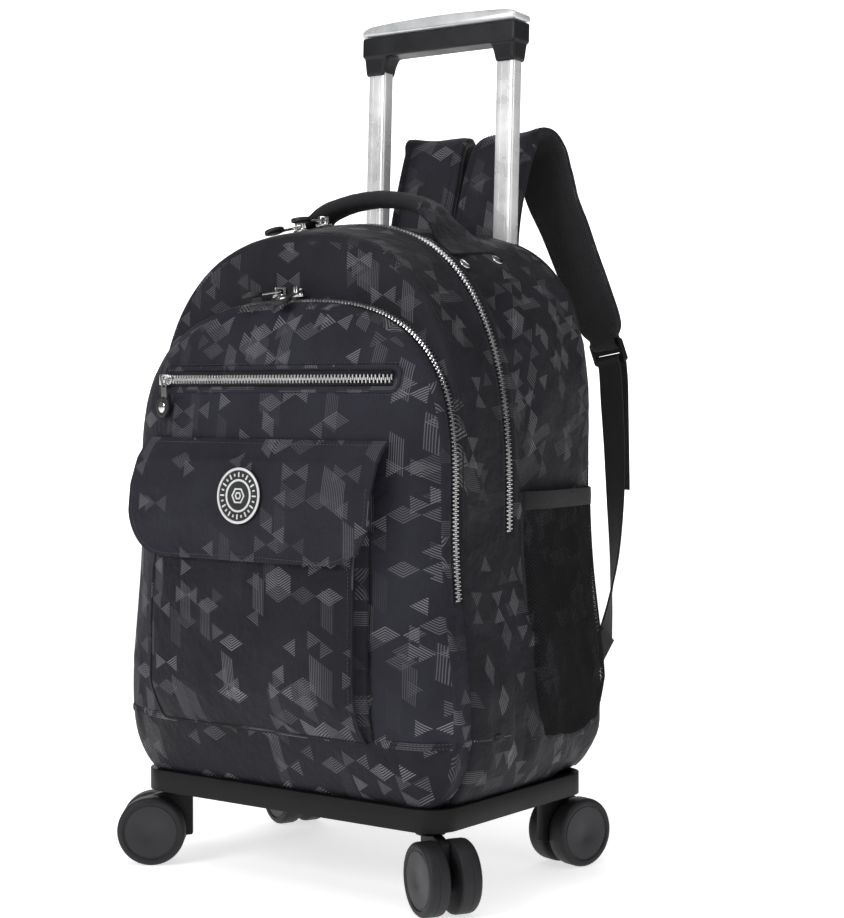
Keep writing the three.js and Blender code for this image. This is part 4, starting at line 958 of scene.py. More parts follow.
def make_zips():
    outer, outer_out = arch_path(bag_shape, OUTER_ZIP_Y, OUTER_ZIP_START)
    inner, inner_out = arch_path(pocket_shape, INNER_ZIP_Y, INNER_ZIP_START)
    xs = np.linspace(STRAIGHT_SHIFT - STRAIGHT_HALF, STRAIGHT_SHIFT + STRAIGHT_HALF, 49)
    bed = [min(panel_y(x, STRAIGHT_Z - 5), panel_y(x, STRAIGHT_Z + 5)) for x in xs]
    straight = np.array([(x, y, STRAIGHT_Z) for x, y in zip(xs, bed)])
    straight_out = facing((0, -1, 0), len(xs))
    tape_width = 2 * TAPE_HALF + 0.6
    for name, points, normals, sink, width, rise, rail in (
        ("outer", outer, outer_out, -1.6, tape_width, 0.35, 4.1),
        ("inner", inner, inner_out, -1.6, tape_width, 0.35, 4.1),
        ("straight", straight, straight_out, 0.1, 13.0, 0.9, 4.2),
    ):
        tape = strip(f"{name}_zip_tape", points, normals, width, 1.0, black_tape, 4.0, sink)
        settle(tape, "bag", "zip_metal", f"{name}_zip")
        settle(teeth(f"{name}_zip_teeth", points, normals, rise), "bag", "zip_metal")
        place, out, ahead, _ = resample(points, normals, 5.0)
        side = np.cross(ahead, out)
        for k, across in enumerate((-rail, rail)):
            path = place + side * across
            cord = cord_along(f"{name}_zip_cord_{k}", path, out, 0.75, black_tape, 5.0, sink + 1.1)
            settle(cord, "bag", "zip_metal")


def make_seams():
    """Hems, piping and their stitches on the bag and its front pocket."""
    rows = []
    for centre, shape_at, start in (
        (OUTER_ZIP_Y, bag_shape, OUTER_ZIP_START),
        (INNER_ZIP_Y, pocket_shape, INNER_ZIP_START),
    ):
        for side in (-1, 1):
            y = centre + side * 10.4
            if y > POCKET_RIM_Y - 1 and centre == INNER_ZIP_Y:
                continue
            points, normals = arch_path(shape_at, y, start, 1.0)
            rows.append((points, normals))
    settle(stitches("zip_edge_stitches", rows, FINE_PITCH, dark_thread, 0.1), "bag", "printed_cloth")
    # Piping round the main panel, in front of and behind the gusset
    for name, low, high, radius, finish in (
        ("front_piping", 300, 900, 1.7, black_cloth),
        ("front_seam", BAG_BOTTOM + 8, 301, 0.9, print_side_painted_shade),
    ):
        points, normals = arch_path(bag_shape, -83.5, low)
        for hand in (-1, 1) if high < 900 else (0,):
            keep = (points[:, 2] < high) & (points[:, 0] * hand >= 0)
            cord = cord_along(f"{name}_{hand + 1}", points[keep], normals[keep], radius, finish, 4.0, 0.5)
            settle(cord, "bag", "black_webbing" if hand == 0 else "printed_cloth")
    points, normals = arch_path(bag_shape, 116, BAG_BOTTOM + 6)
    piping = cord_along("back_piping", points, normals, 1.9, black_cloth, 4.0, 0.9)
    settle(piping, "bag", "black_webbing")
    points, normals = arch_path(lambda y: pocket_shape(y, 1.0), POCKET_EDGE_Y + 1, BOOT_TOP - 6)
    seam = cord_along("pocket_edge_seam", points, normals, 0.9, print_front, 4.0, 0.4)
    settle(seam, "bag", "printed_cloth")


def boot_drop(y):
    """How much lower the boot's seam is at a depth than on the front."""
    return 14 * float(ease(-60, 60, y))


def boot_path(height, offset=0.0):
    """Once round the front of the bag at a height: from the rear right side to the rear left."""
    half = float(arch_half_width(height, **POCKET))
    edge = [(half, -88), (half, -97), (half - 0.4, -103), (half - 2.5, -107.5)]

    def side_row(y, hand):
        z = height - boot_drop(y)
        reach = float(arch_half_width(z, **bag_shape(y))) + body_lift(BAG_TOP - z + 130, y, z)
        return (hand * reach, y, z), (hand, 0, 0)

    def edge_row(x, y, hand):
        return (hand * x, y, height), (hand, -0.3 if y > -100 else -1, 0)

    def front_row(x):
        slope = (panel_y(x + 1.5, height) - panel_y(x - 1.5, height)) / 3
        return (x, panel_y(x, height), height), (slope, -1, 0)

    rows = [side_row(y, 1) for y in np.linspace(100, -70, 36)]
    rows += [edge_row(x, y, 1) for x, y in edge]
    rows += [front_row(x) for x in np.linspace(half - 6, -half + 6, 70)]
    rows += [edge_row(x, y, -1) for x, y in edge[::-1]]
    rows += [side_row(y, -1) for y in np.linspace(-70, 100, 36)]
    points, normals = np.array([p for p, _ in rows]), unit(np.array([n for _, n in rows], float))
    return points + normals * offset, normals


def make_boot():
    points, normals = boot_path(BOOT_TOP)
    hem = strip("boot_hem", points, normals, 7.0, 1.5, print_boot_painted_shade, 3.0, -0.1, 0.5)
    settle(hem, "bag", "printed_cloth")
    rows = [boot_path(BOOT_TOP + d, 1.6) for d in (1.6, -1.8)]
    settle(stitches("boot_stitches", rows), "bag", "printed_cloth")


# Patch pocket and flap
def patch_rise(v):
    """How far the patch pocket stands out at a share of its height."""
    pinch = 1 - 0.5 * max(0.0, (v - 0.45) / 0.55) ** 1.3
    return PATCH_DEPTH * pinch * min(1.0, v / 0.16) ** 0.6


def patch_front_y(x, z, relief=True):
    u = x / PATCH_HALF
    v = (z - PATCH_LOW) / (PATCH_HIGH - PATCH_LOW)
    rise = 0
    if abs(u) < 1 and 0 < v < 1:
        rise = patch_rise(v) * (1 - abs(u) ** 6) ** 0.5 + CLOTH
    return panel_y(x, z, relief) - GAP - rise


PATCH_PANEL = 110  # half width of its stitched front, inside the pleated sides
PLEAT = [(0, 0), (0.6, 0.06), (-2.2, 0.3), (-3.4, 0.42), (3.0, 0.6), (6.2, 0.72), (2.0, 0.86)]


def make_patch_pocket():
    across = np.linspace(-1, 1, 61)
    up = np.concatenate([np.linspace(0, 0.2, 14), np.linspace(0.2, 1, 44)[1:]])
    rows, flats = [], []
    for v in up:
        z = mix(PATCH_LOW - 3, PATCH_HIGH, v)
        narrow = PATCH_PANEL - 3 * v
        row, flat = [], []
        for s in across:
            x = s * narrow
            folds = 0.8 * crease(x * 0.8 + z * 0.5, 0, z * 0.4, 44, 2.9) * (1 - v)
            lean = (1.2 * rumple(x, 0, z, 60, 9.4) + folds) * float(ease(0, 0.15, v))
            y = panel_y(x, z) - GAP - CLOTH - patch_rise(v) * (1 - 0.12 * abs(s) ** 5) - lean
            row.append((x, y, z))
            flat.append((x, z))
        rows.append(row)
        flats.append(flat)
    work = Sewing()
    work.grid(rows, flats)
    front = np.array(rows)
    # Pleated sides between the panel's edge and the pocket behind
    for hand, edge in ((1, front[:, -1]), (-1, front[:, 0])):
        grid, flat = [], []
        for (x, y, z), v in zip(edge, up):
            root = panel_y(hand * PATCH_HALF, z) - GAP - 0.4
            depth = root - y
            line = []
            for k, (out, share) in enumerate([*PLEAT, (PATCH_HALF - hand * x, 1)]):
                wave = 0.6 * rumple(k * 20, 0, z, 30, 5) if 0 < k < len(PLEAT) else 0
                line.append((x + hand * out + wave, y + depth * share, z))
            grid.append(line)
            flat.append([(z, 4 * k) for k in range(len(line))])
        work.grid(grid, flat, flip=hand < 0)
    pocket = work.make("patch_pocket_cloth", print_patch_painted_shade)
    pocket = facing_front(pocket)
    thicken(pocket, PATCH_CLOTH)
    edge = np.concatenate([front[::-1, -1], front[0, ::-1][1:], front[1:, 0]])
    out = facing((0, -1, 0), len(edge))
    lip = cord_along("patch_pocket_lip", edge, out, 1.0, print_patch_painted_shade, 3.0, 0.2)
    inward = -4 * np.sign(edge[:, 0]) * (np.abs(edge[:, 0]) > 100)
    points = edge + np.stack([inward, np.full(len(edge), -0.9), np.zeros(len(edge))], 1)
    points = points[np.abs(points[:, 0]) > 90]
    right, left = points[points[:, 0] > 0], points[points[:, 0] < 0]
    rows = [(side, facing((0, -1, 0), len(side))) for side in (right, left)]
    settle(stitches("patch_pocket_stitches", rows), "bag", "printed_cloth")
    settle(lip, "bag", "printed_cloth")
    settle(pocket, "bag", "printed_cloth", "patch_pocket")


def facing_front(piece):
    """Turns an open sheet so that most of its faces look forward."""
    with editing(piece.data) as work:
        if sum(face.normal.y * face.calc_area() for face in work.faces) > 0:
            bmesh.ops.reverse_faces(work, faces=work.faces)
    return piece


FLAP_DOWN = [0, 0.06, 0.18, 0.4, 0.64, 1]
FLAP_OUT = [0.05, 0.3, 0.62, 0.9, 1, 0.97]


def flap_point(u, down_share, shift=0.0):
    down = down_share * FLAP_LENGTH
    z = FLAP_TOP - down
    past = max(0, down - (FLAP_LENGTH - FLAP_CORNER))
    rounding = FLAP_CORNER - math.sqrt(max(0, FLAP_CORNER**2 - past**2))
    x = u * (FLAP_HALF - rounding * 0.95)
    level = FLAP_TOP - 0.65 * FLAP_LENGTH
    full = patch_front_y(0, level, False) - 6
    sewn = panel_y(x, z) - GAP - FLAP_THICK
    forward = full + 3 * (abs(x) / FLAP_HALF) ** 2.4
    clear = patch_front_y(x, z, False) - FLAP_THICK - 3.0 if z < PATCH_HIGH + 4 else sewn
    out = float(np.interp(down_share, FLAP_DOWN, FLAP_OUT))
    soft = 0.7 * rumple(x, 0, z, 50, 14.0) * float(ease(0, 0.25, down_share))
    lift = 1.6 * float(ease(0.55, 1.0, down_share)) * (abs(x) / FLAP_HALF) ** 2
    y = min(sewn, clear, mix(sewn, forward, out)) - soft - lift
    return (x, y + shift, z)


def make_flap():
    across = np.sin(np.linspace(-1, 1, 57) * math.pi / 2)
    down = np.concatenate([np.linspace(0, 0.2, 9), np.linspace(0.2, 1, 40)[1:]])
    grid = np.array([[flap_point(u, d) for u in across] for d in down])
    flats = np.array([[(p[0], p[2]) for p in row] for row in grid])
    work = Sewing()
    work.grid(grid, flats)
    piece = facing_front(work.make("flap_cloth", print_flap))
    thicken(piece, FLAP_THICK)
    round_edges(piece, 1.1, 50)
    settle(piece, "bag", "printed_cloth", "pocket_flap")
    rim = np.concatenate([grid[:, -1], grid[-1, ::-1][1:-1], grid[::-1, 0]])
    middle = np.array([0, 0, FLAP_TOP - 0.35 * FLAP_LENGTH])
    inward = middle - rim
    inward[:, 1] = 0
    rows = [(rim + unit(inward) * 4.2 - [0, 0.1, 0], facing((0, -1, 0), len(rim)))]
    top = np.array([flap_point(u, 0.035) for u in np.linspace(-0.97, 0.97, 60)]) - [0, 0.2, 0]
    rows.append((top, facing((0, -1, 0.2), 60)))
    settle(stitches("flap_stitches", rows), "bag", "printed_cloth")


# Straight zip's welt: half height and how far past the zip's ends
WELT = (8.6, 1.5)
WELT_STITCHES = (12.6, 4.5)


def make_welt():
    def loop(half_height, extra):
        reach = STRAIGHT_HALF + extra
        right, left = STRAIGHT_SHIFT + reach, STRAIGHT_SHIFT - reach
        points = [(x, STRAIGHT_Z + half_height) for x in np.linspace(left, right, 60)]
        points += [(right + 2.5, STRAIGHT_Z + half_height * s) for s in (0.6, 0, -0.6)]
        points += [(x, STRAIGHT_Z - half_height) for x in np.linspace(right, left, 60)]
        points += [(left - 2.5, STRAIGHT_Z + half_height * s) for s in (-0.6, 0, 0.6)]
        points.append(points[0])
        place = np.array([(x, panel_y(x, z), z) for x, z in points])
        return place, facing((0, -1, 0), len(place))

    points, normals = loop(*WELT)
    welt = strip("straight_zip_welt", points, normals, 5.2, 1.6, print_front, 3.0, 0.0, 0.35)
    settle(welt, "bag", "printed_cloth")
    thread = stitches("straight_zip_stitches", [loop(*WELT_STITCHES)], lift=0.1)
    settle(thread, "bag", "printed_cloth")


# Swept soft pieces
def smooth_rows(rows, count):
    """Points on a smooth curve through rows of numbers, by Catmull-Rom."""
    rows = np.asarray(rows, float)
    padded = np.vstack([2 * rows[0] - rows[1], rows, 2 * rows[-1] - rows[-2]])
    found = []
    for t in np.linspace(0, len(rows) - 1 - 1e-9, count):
        i, s = int(t), t - int(t)
        p0, p1, p2, p3 = padded[i : i + 4]
        bend, twist = 2 * p0 - 5 * p1 + 4 * p2 - p3, 3 * p1 - p0 - 3 * p2 + p3
        found.append(0.5 * (2 * p1 + (p2 - p0) * s + bend * s**2 + twist * s**3))
    return np.array(found)


def sweep(work, centres, across, widths, thicks, flat=0.35, sides=28, slots=None, form=None):
    """A padded strap through centres: a rounded section with its own width, thickness and turn."""
    ahead = unit(np.gradient(centres, axis=0))
    side = unit(across - ahead * (across * ahead).sum(1)[:, None])
    normal = np.cross(ahead, side)
    turns = (np.arange(sides) + 0.5) / sides * 2 * math.pi
    c, s = np.cos(turns), np.sin(turns)
    flats_at = np.broadcast_to(np.asarray(flat, float), (len(centres),))
    rows, flats = [], []
    walked = np.concatenate([[0], np.cumsum(np.linalg.norm(np.diff(centres, axis=0), axis=1))])
    for i in range(len(centres)):
        a = np.sign(c) * np.abs(c) ** flats_at[i] * widths[i] / 2
        n = np.sign(s) * np.abs(s) ** flats_at[i] * thicks[i] / 2
        if form is not None:
            a, n = form(walked[i], a, n, i)
        ring = centres[i] + np.outer(a, side[i]) + np.outer(n, normal[i])
        rows.append(ring)
        steps = np.hypot(np.diff(a, append=a[0]), np.diff(n, append=n[0]))
        reach = np.concatenate([[0], np.cumsum(steps)])
        flats.append([(r, walked[i]) for r in reach])
    rows = np.array(rows)
    if slots is None:
        work.grid(rows, flats, closed=True)
    else:
        flats = np.array(flats)
        start = 0
        loop = np.concatenate([rows, rows[:, :1]], 1)
        for slot, end in slots:
            work.grid(loop[:, start : end + 1], flats[:, start : end + 1], slot=slot)
            start = end
    close_ends(work, rows, sides)
    return side, normal


BACK_PAD_Y = SLEEVE_BACK_Y + GAP
STRAP_THICK = 11
ROOT_Y = BACK_PAD_Y + STRAP_THICK / 2
ROOT_Z = BAG_BOTTOM + 456 + GAP
STRAP_ROUTE = [
    (38, 0, 0, 70, 0), (38, 4, 34, 70, 0), (38, 15, 72, 70, 0), (40, 28, 104, 69, 1),
    (44, 42, 115, 68, 0), (51, 54, 111, 67, -3), (58, 60, 98, 66, -8), (66, 61, 77, 65, -13),
    (75, 61, 53, 64, -16), (84, 65, 29, 63, -16), (92, 71, 2, 61, -16), (100, 78, -26, 59, -15),
    (107, 86, -53, 54, -13), (111, 91, -72, 43, -12),
]


def strap_place(hand, x, back, up):
    return np.array([hand * x, ROOT_Y + back, ROOT_Z + up])


def strap_across(hand, degrees):
    return np.array([math.cos(math.radians(degrees)), hand * math.sin(math.radians(degrees)), 0])


def make_strap(side_name, hand):
    rows = smooth_rows(STRAP_ROUTE, 150)
    centres = np.array([strap_place(hand, r[0], r[1], r[2]) for r in rows])
    across = np.array([strap_across(hand, r[4]) for r in rows])
    count = len(rows)
    end = np.clip((np.arange(count) - (count - 9)) / 8, 0, 1)
    widths = rows[:, 3] * (1 - 0.3 * end**2.2)
    thicks = STRAP_THICK * (1 - 0.5 * end**2)

    def pillow(walk, a, n, i):
        reach = np.abs(a) / (widths[i] / 2)
        channel = 1.05 - 0.2 * reach**3 - 0.08 * np.exp(-(((reach - 0.84) / 0.05) ** 2))
        soft = 1 + 0.05 * rumple(walk * 0.6, 0, hand * 20, 26, 2)
        return a, n * channel * soft

    work = Sewing()
    halves = [(0, 16), (1, 32)]
    side, normal = sweep(work, centres, across, widths, thicks, 0.42, 32, halves, pillow)
    strap = facing_out(work.make(f"strap_pad_{side_name}", mesh_finish, print_strap))
    settle(strap, "bag", "mesh_padding", f"shoulder_strap_{side_name}")
    for k, edge in enumerate((-1, 1)):
        path = centres + side * (edge * (widths[:, None] / 2 - 0.2))
        seam = cord_along(f"strap_seam_{side_name}_{k}", path, side * edge, 0.9, black_cloth, 4.0, 0.0)
        settle(seam, "bag", "black_webbing")
    rows = []
    for edge in (-1, 1):
        for face in (-1, 1):
            inner = centres + side * (edge * widths[:, None] * 0.4)
            inner = inner + normal * face * (thicks[:, None] * 0.43)
            rows.append((inner[4:-6], normal[4:-6] * face))
    settle(stitches(f"strap_stitches_{side_name}", rows, 3.6, dark_thread, 0.1), "bag", "mesh_padding")


LOCK_HEIGHT = 22
LOCK_BAR = 4
LOCK_THICK = 5
WEB_WIDTH = 28
WEB_THICK = 2
WEB_ROUTE = [
    (119, 91, -130, -13), (125, 86, -175, -18), (131, 78, -225, -28),
    (138, 65, -272, -45), (144, 48, -312, -65), (148, 34, -338, -80),
]
TAIL_LENGTH = 118


def strap_end(hand):
    a, b = (strap_place(hand, *STRAP_ROUTE[i][:3]) for i in (-2, -1))
    down = unit(b - a)
    across = strap_across(hand, STRAP_ROUTE[-1][4])
    across = unit(across - down * across.dot(down))
    return b, down, across, unit(np.cross(across, down))


def webbing_rows(hand):
    at, down, across, off = strap_end(hand)
    around_bar = WEB_THICK / 2 + GAP
    bar = LOCK_HEIGHT - LOCK_BAR / 2 + GAP
    face = LOCK_THICK / 2 + around_bar
    half_bar = LOCK_BAR / 2
    place = lambda d, o: at + down * d + off * o
    tail_top = place(bar + LOCK_BAR, face + 2)
    tail = [np.array([0, 5 * s, -s * TAIL_LENGTH]) for s in (1, 0.8, 0.55, 0.35, 0.15)]
    rows = [(tail_top + hang, across) for hang in tail]
    rows += [
        (place(bar + half_bar, face + 1), across), (place(bar - half_bar, face + 0.8), across),
        (place(bar - half_bar - 2.1, face - 1.2), across), (place(bar - half_bar - 2.1, 1.2 - face), across),
        (place(bar - half_bar, -face - 0.8), across), (place(bar + half_bar * 3, -face - 1), across),
    ]
    rows += [(strap_place(hand, *r[:3]), strap_across(hand, r[3])) for r in WEB_ROUTE]
    return rows


def make_webbing(side_name, hand):
    rows = webbing_rows(hand)
    table = np.array([np.concatenate([p, a]) for p, a in rows])
    fine = smooth_rows(table, 170)
    centres, across = fine[:, :3], fine[:, 3:]
    count = len(fine)
    widths = np.full(count, float(WEB_WIDTH))
    share = np.linspace(0, len(rows) - 1, count)
    thicks = WEB_THICK - 0.3 + 1.8 * np.exp(-(((share - 7.5) / 1.3) ** 2))

    def ribbon(walk, a, n, i):
        edge = np.abs(a) / (widths[i] / 2)
        curl = 0.5 * rumple(walk * 0.4, hand * 9, 0, 30, 6) * (a / 14)
        return a, n * (1 + 0.25 * ease(0.85, 1, edge)) + curl

    work = Sewing()
    sweep(work, centres, across, widths, thicks, 0.22, 20, form=ribbon)
    webbing = facing_out(work.make(f"webbing_band_{side_name}", webbing_finish))
    settle(webbing, "bag", "black_webbing", f"webbing_{side_name}")


def make_strap_loop(side_name, hand):
    """A folded band from the pad's end round the adjuster's upper bar."""
    at, down, across, off = strap_end(hand)
    front = [(-9, 3.0), (-2, 3.7), (3.5, 4.0), (7, 2.6)]
    route = front + [(7.9, 0)] + [(d, -o) for d, o in front[::-1]]
    fine = smooth_rows([at + down * d + off * o for d, o in route], 60)
    work = Sewing()
    count = len(fine)
    sweep(work, fine, np.tile(across, (count, 1)), np.full(count, 31.0), np.full(count, 2.4), 0.25, 20)
    settle(facing_out(work.make(f"strap_loop_{side_name}", webbing_finish)), "bag", "black_webbing")


WING_HEIGHT = 62
WING_RAISE = 46  # from the bag's bottom to the wing's lower edge
WING_INSET = 32


def make_wing(side_name, hand):
    rows = webbing_rows(hand)
    tip, across = rows[-1]
    reach = unit(tip - rows[-2][0])
    spread = unit(across - reach * across.dot(reach))
    seam_x, seam_y = BAG_HALF - WING_INSET, SLEEVE_BACK_Y + GAP + 1.5
    low = np.array([hand * seam_x, seam_y, BAG_BOTTOM + WING_RAISE])
    high = low + [0, 0, WING_HEIGHT]
    end = tip + reach * 0.4
    half = -hand * WEB_WIDTH / 2
    grid, flats = [], []
    for t in np.linspace(0, 1, 22):
        a, b = mix(low, end + spread * half, t), mix(high, end - spread * half, t)
        grid.append([mix(a, b, s) for s in np.linspace(0, 1, 14)])
        flats.append([(60 * s, 90 * t) for s in np.linspace(0, 1, 14)])
    face = np.cross(spread, reach) * 1.0
    work = Sewing()
    work.grid(np.array(grid) + face, flats)
    wing = work.make(f"anchor_wing_{side_name}", black_cloth)
    if hand < 0:
        wing.data.flip_normals()
    thicken(wing, 2.0)
    facing_out(wing)
    settle(wing, "bag", "black_webbing", f"strap_wing_{side_name}")
    grid = np.array(grid)
    border = np.concatenate([grid[2:-2, 2], grid[-3, 3:-3], grid[2:-2, -3][::-1]])
    normal = np.tile(unit(face), (len(border), 1))
    rows = [(border + normal * 1.0, normal), (border - normal * 1.0, -normal)]
    settle(stitches(f"anchor_stitches_{side_name}", rows, FINE_PITCH, dark_thread), "bag", "black_webbing")


# Carrying handle
HANDLE_Y = 19.5
HANDLE_CREST = 27
HANDLE_WIDTH, HANDLE_THICK = 32, 15
MESH_REACH = 58  # the grip is of mesh as far as this from its middle
HANDLE_ROWS = [
    (103, 0, 60, 3), (94, 0, 60, 3), (83, 2, 54, 4.5), (70, 8, 42, 9), (53, 14, 33, 14),
    (28, 17, 31, 15),
]


def dome_height(x, y):
    shape = bag_shape(y)
    t = min(1, abs(x) / shape["half"])
    shoulder, power = shape["shoulder"], shape["power"]
    return shape["top"] - shoulder + shoulder * (1 - t**power) ** (1 / power)


def top_place(x, y):
    slope = dome_height(abs(x) + 0.5, y) - dome_height(abs(x) - 0.5, y)
    normal = unit(np.array([-slope * np.sign(x), 0, 1]))
    return np.array([x, y, dome_height(x, y)]), normal


def make_handle():
    half = []
    for x, lift, width, thick in HANDLE_ROWS:
        front, normal = top_place(x, HANDLE_Y - width / 2)
        rear, _ = top_place(x, HANDLE_Y + width / 2)
        across = rear - front if lift < 5 else np.array([0, 1.0, 0])
        at = (front + rear) / 2 + normal * (1 + thick / 2) + [0, 0, lift]
        half.append([*at, *unit(across), width, thick])
    middle = [0, HANDLE_Y, BAG_TOP + HANDLE_CREST, 0, 1, 0, HANDLE_WIDTH, HANDLE_THICK]
    mirrored = [[-r[0], *r[1:3], -r[3] if abs(r[3]) > 1e-9 else 0, *r[4:]] for r in half][::-1]
    fine = smooth_rows(half + [middle] + mirrored, 150)
    centres, across, widths, thicks = fine[:, :3], fine[:, 3:6], fine[:, 6], fine[:, 7]
    flat = np.interp(thicks, [4, 9], [0.22, 0.8])

    def padded(walk, a, n, i):
        wrap = float(ease(5, 12, thicks[i]))
        gather = 0.35 * wrap * rumple(walk * 1.2, a.mean(), 0, 9, 3)
        return a + np.sign(a) * gather, n + np.sign(n) * gather

    work = Sewing()
    side, normal = sweep(work, centres, across, widths, thicks, flat, 32, form=padded)
    handle = facing_out(work.make("carry_handle_pad", print_side_painted_shade, mesh_finish))
    for face in handle.data.polygons:
        face.material_index = 1 if abs(face.center.x) / MM < MESH_REACH else 0
    settle(handle, "bag", "mesh_padding", "carry_handle")
    rows = []
    for hand in (-1, 1):
        keep = [i for i in range(len(centres)) if 76 < hand * centres[i, 0] < 101]
        for edge in (-1, 1):
            path = centres[keep] + side[keep] * (edge * (widths[keep][:, None] / 2 - 3.5))
            path = path + normal[keep] * (thicks[keep][:, None] / 2)
            rows.append((path, normal[keep]))
        last = keep[0] if hand > 0 else keep[-1]
        top = centres[last] + normal[last] * thicks[last] / 2
        line = np.array([top + side[last] * s for s in np.linspace(-26, 26, 16)])
        rows.append((line, facing(normal[last], 16)))
    upright = [(p, n if n[:, 2].mean() > 0 else -n) for p, n in rows]
    settle(stitches("handle_stitches", upright, lift=0.2), "bag", "mesh_padding")


# Side pockets of net
NET_FRONT, NET_REAR = -2, 113
NET_LOW, NET_HIGH = BAG_BOTTOM + 44, BAG_BOTTOM + 254
NET_BULGE = 17
NET_COLUMNS, NET_ROWS = 70, 112
NET_TOP_SHARE = 0.93  # the net ends under its band
NET_CORD = 0.85


def net_x(y, z, u, v):
    side = float(arch_half_width(z, **bag_shape(y)))
    across = max(0.0, 1 - abs(2 * u - 1) ** (3.5 if u < 0.5 else 7)) ** 0.8
    height = min(1.0, (max(v, 0) / 0.22) ** 0.8) * mix(1, 0.62, max(v, 0) ** 1.6)
    return side + 0.8 + NET_BULGE * across * height


def net_point(hand, u, v, off=0.0):
    y, z = mix(NET_FRONT, NET_REAR, u), mix(NET_LOW, NET_HIGH, v)
    soft = 0.8 * rumple(u * 60, v * 120, hand * 30, 30, 4) * math.sin(math.pi * u) * min(1, 4 * v)
    return (hand * (net_x(y, z, u, v) + 1.0 + soft + off), y, z)


def make_net(side_name, hand):
    columns, rows = NET_COLUMNS, NET_ROWS
    points, faces, index = [], [], {}
    for i in range(columns + 1):
        for j in range(rows + 1):
            if (i + j) % 2 == 0:
                index[i, j] = len(points)
                points.append(net_point(hand, i / columns, NET_TOP_SHARE * j / rows))
    for i in range(1, columns):
        for j in range(1, rows):
            if (i + j) % 2 == 1:
                faces.append([index[i - 1, j], index[i, j - 1], index[i + 1, j], index[i, j + 1]])
    mesh = bpy.data.meshes.new(f"net_{side_name}")
    mesh.from_pydata(in_frame(points).tolist(), [], faces)
    mesh.uv_layers.new(name="flat")
    net = as_piece(f"net_{side_name}", mesh)
    with editing(mesh) as work:
        bmesh.ops.delete(work, geom=[v for v in work.verts if not v.link_faces], context="VERTS")
    add_modifier(net, "WIREFRAME", thickness=NET_CORD * MM, use_even_offset=False, use_boundary=True)
    mesh.materials.clear()
    mesh.materials.append(net_finish)
    settle(net, "bag", "black_net", f"net_pocket_{side_name}")
    band = (15, 1.6, webbing_finish, 3.0, -0.6, 0.3)
    binding = (6.5, 1.3, black_cloth, 4.0, -0.9, 0.4)
    for name, route, measures in (
        ("band", [(u, 0.965) for u in np.linspace(0, 1, 40)], band),
        ("binding_front", [(0.0, v) for v in np.linspace(1, 0, 40)], binding),
        ("binding_rear", [(1.0, v) for v in np.linspace(1, 0, 40)], binding),
        ("binding_low", [(u, 0.0) for u in np.linspace(0, 1, 30)], binding),
    ):
        path = np.array([net_point(hand, u, v) for u, v in route])
        edge = strip(f"net_{name}_{side_name}", path, facing((hand, 0, 0), len(path)), *measures)
        settle(edge, "bag", "black_webbing")


# Back pad: a cushion, inflated as cloth and quilted with channels
PAD_LOW, PAD_HIGH = BAG_BOTTOM + 30, BAG_BOTTOM + 456
PAD_HALF = 122
PAD_SHOULDER = 84
PAD_FOOT = 20
PAD_THICK = 11
PAD_MARGIN = 2.5  # room for the cloth to swell
PAD_PUFF = 2.4
QUILT_ROWS = (0.3, 0.52, 0.74)
QUILT_DEPTH = 4.0


def make_back_pad():
    low, high = PAD_LOW, PAD_HIGH
    shape = dict(half=PAD_HALF, bottom=low, top=high, shoulder=PAD_SHOULDER, power=5)
    shape.update(foot=PAD_FOOT, inset=PAD_FOOT)
    y0, shoulder_z = BACK_PAD_Y, high - PAD_SHOULDER
    zs = [low + PAD_FOOT * (1 - math.cos(i / 6 * math.pi / 2)) for i in range(6)]
    zs += list(np.linspace(low + PAD_FOOT, shoulder_z, 30))[:-1]
    ring = [(float(arch_half_width(z, **shape)), z) for z in zs]
    for i in range(15):
        angle = i / 14 * math.pi / 2
        x, rise = PAD_HALF * max(0, math.cos(angle)) ** 0.4, math.sin(angle) ** 0.4
        ring.append((x, shoulder_z + PAD_SHOULDER * rise))
    ring = [(x - PAD_MARGIN, z) for x, z in ring]
    left = [(-x, z) for x, z in ring[::-1] if x > 0.1]
    full = np.array(ring + left)
    full[:, 0] = np.clip(full[:, 0], PAD_MARGIN - PAD_HALF, PAD_HALF - PAD_MARGIN)
    full[:, 1] = np.clip(full[:, 1], low + PAD_MARGIN, high - PAD_MARGIN)
    middle = (low + high) / 2
    work = Sewing()
    rows = []
    for share, depth in ((0.985, y0 + 0.4), (1, y0 + 2.0), (1, y0 + 5.5), (0.985, y0 + 8.0)):
        rows.append([(x * share, depth, middle + (z - middle) * share) for x, z in full])
    flats = [[(i * 4, k * 4) for i in range(len(full) + 1)] for k in range(4)]
    work.grid(rows, flats, closed=True)
    for row in (rows[0], rows[-1]):
        work.fan(row, np.mean(row, 0), np.zeros((len(full) + 1, 2)))
    pad = facing_out(work.make("back_cushion", mesh_finish))
    add_modifier(pad, "REMESH", mode="VOXEL", voxel_size=5.5 * MM)
    inflate(pad, PAD_PUFF, y0)
    add_modifier(pad, "SUBSURF", levels=1, render_levels=1)
    quilt(pad, y0)
    for face in pad.data.polygons:
        face.use_smooth = True
    settle(pad, "bag", "mesh_padding", "back_pad")


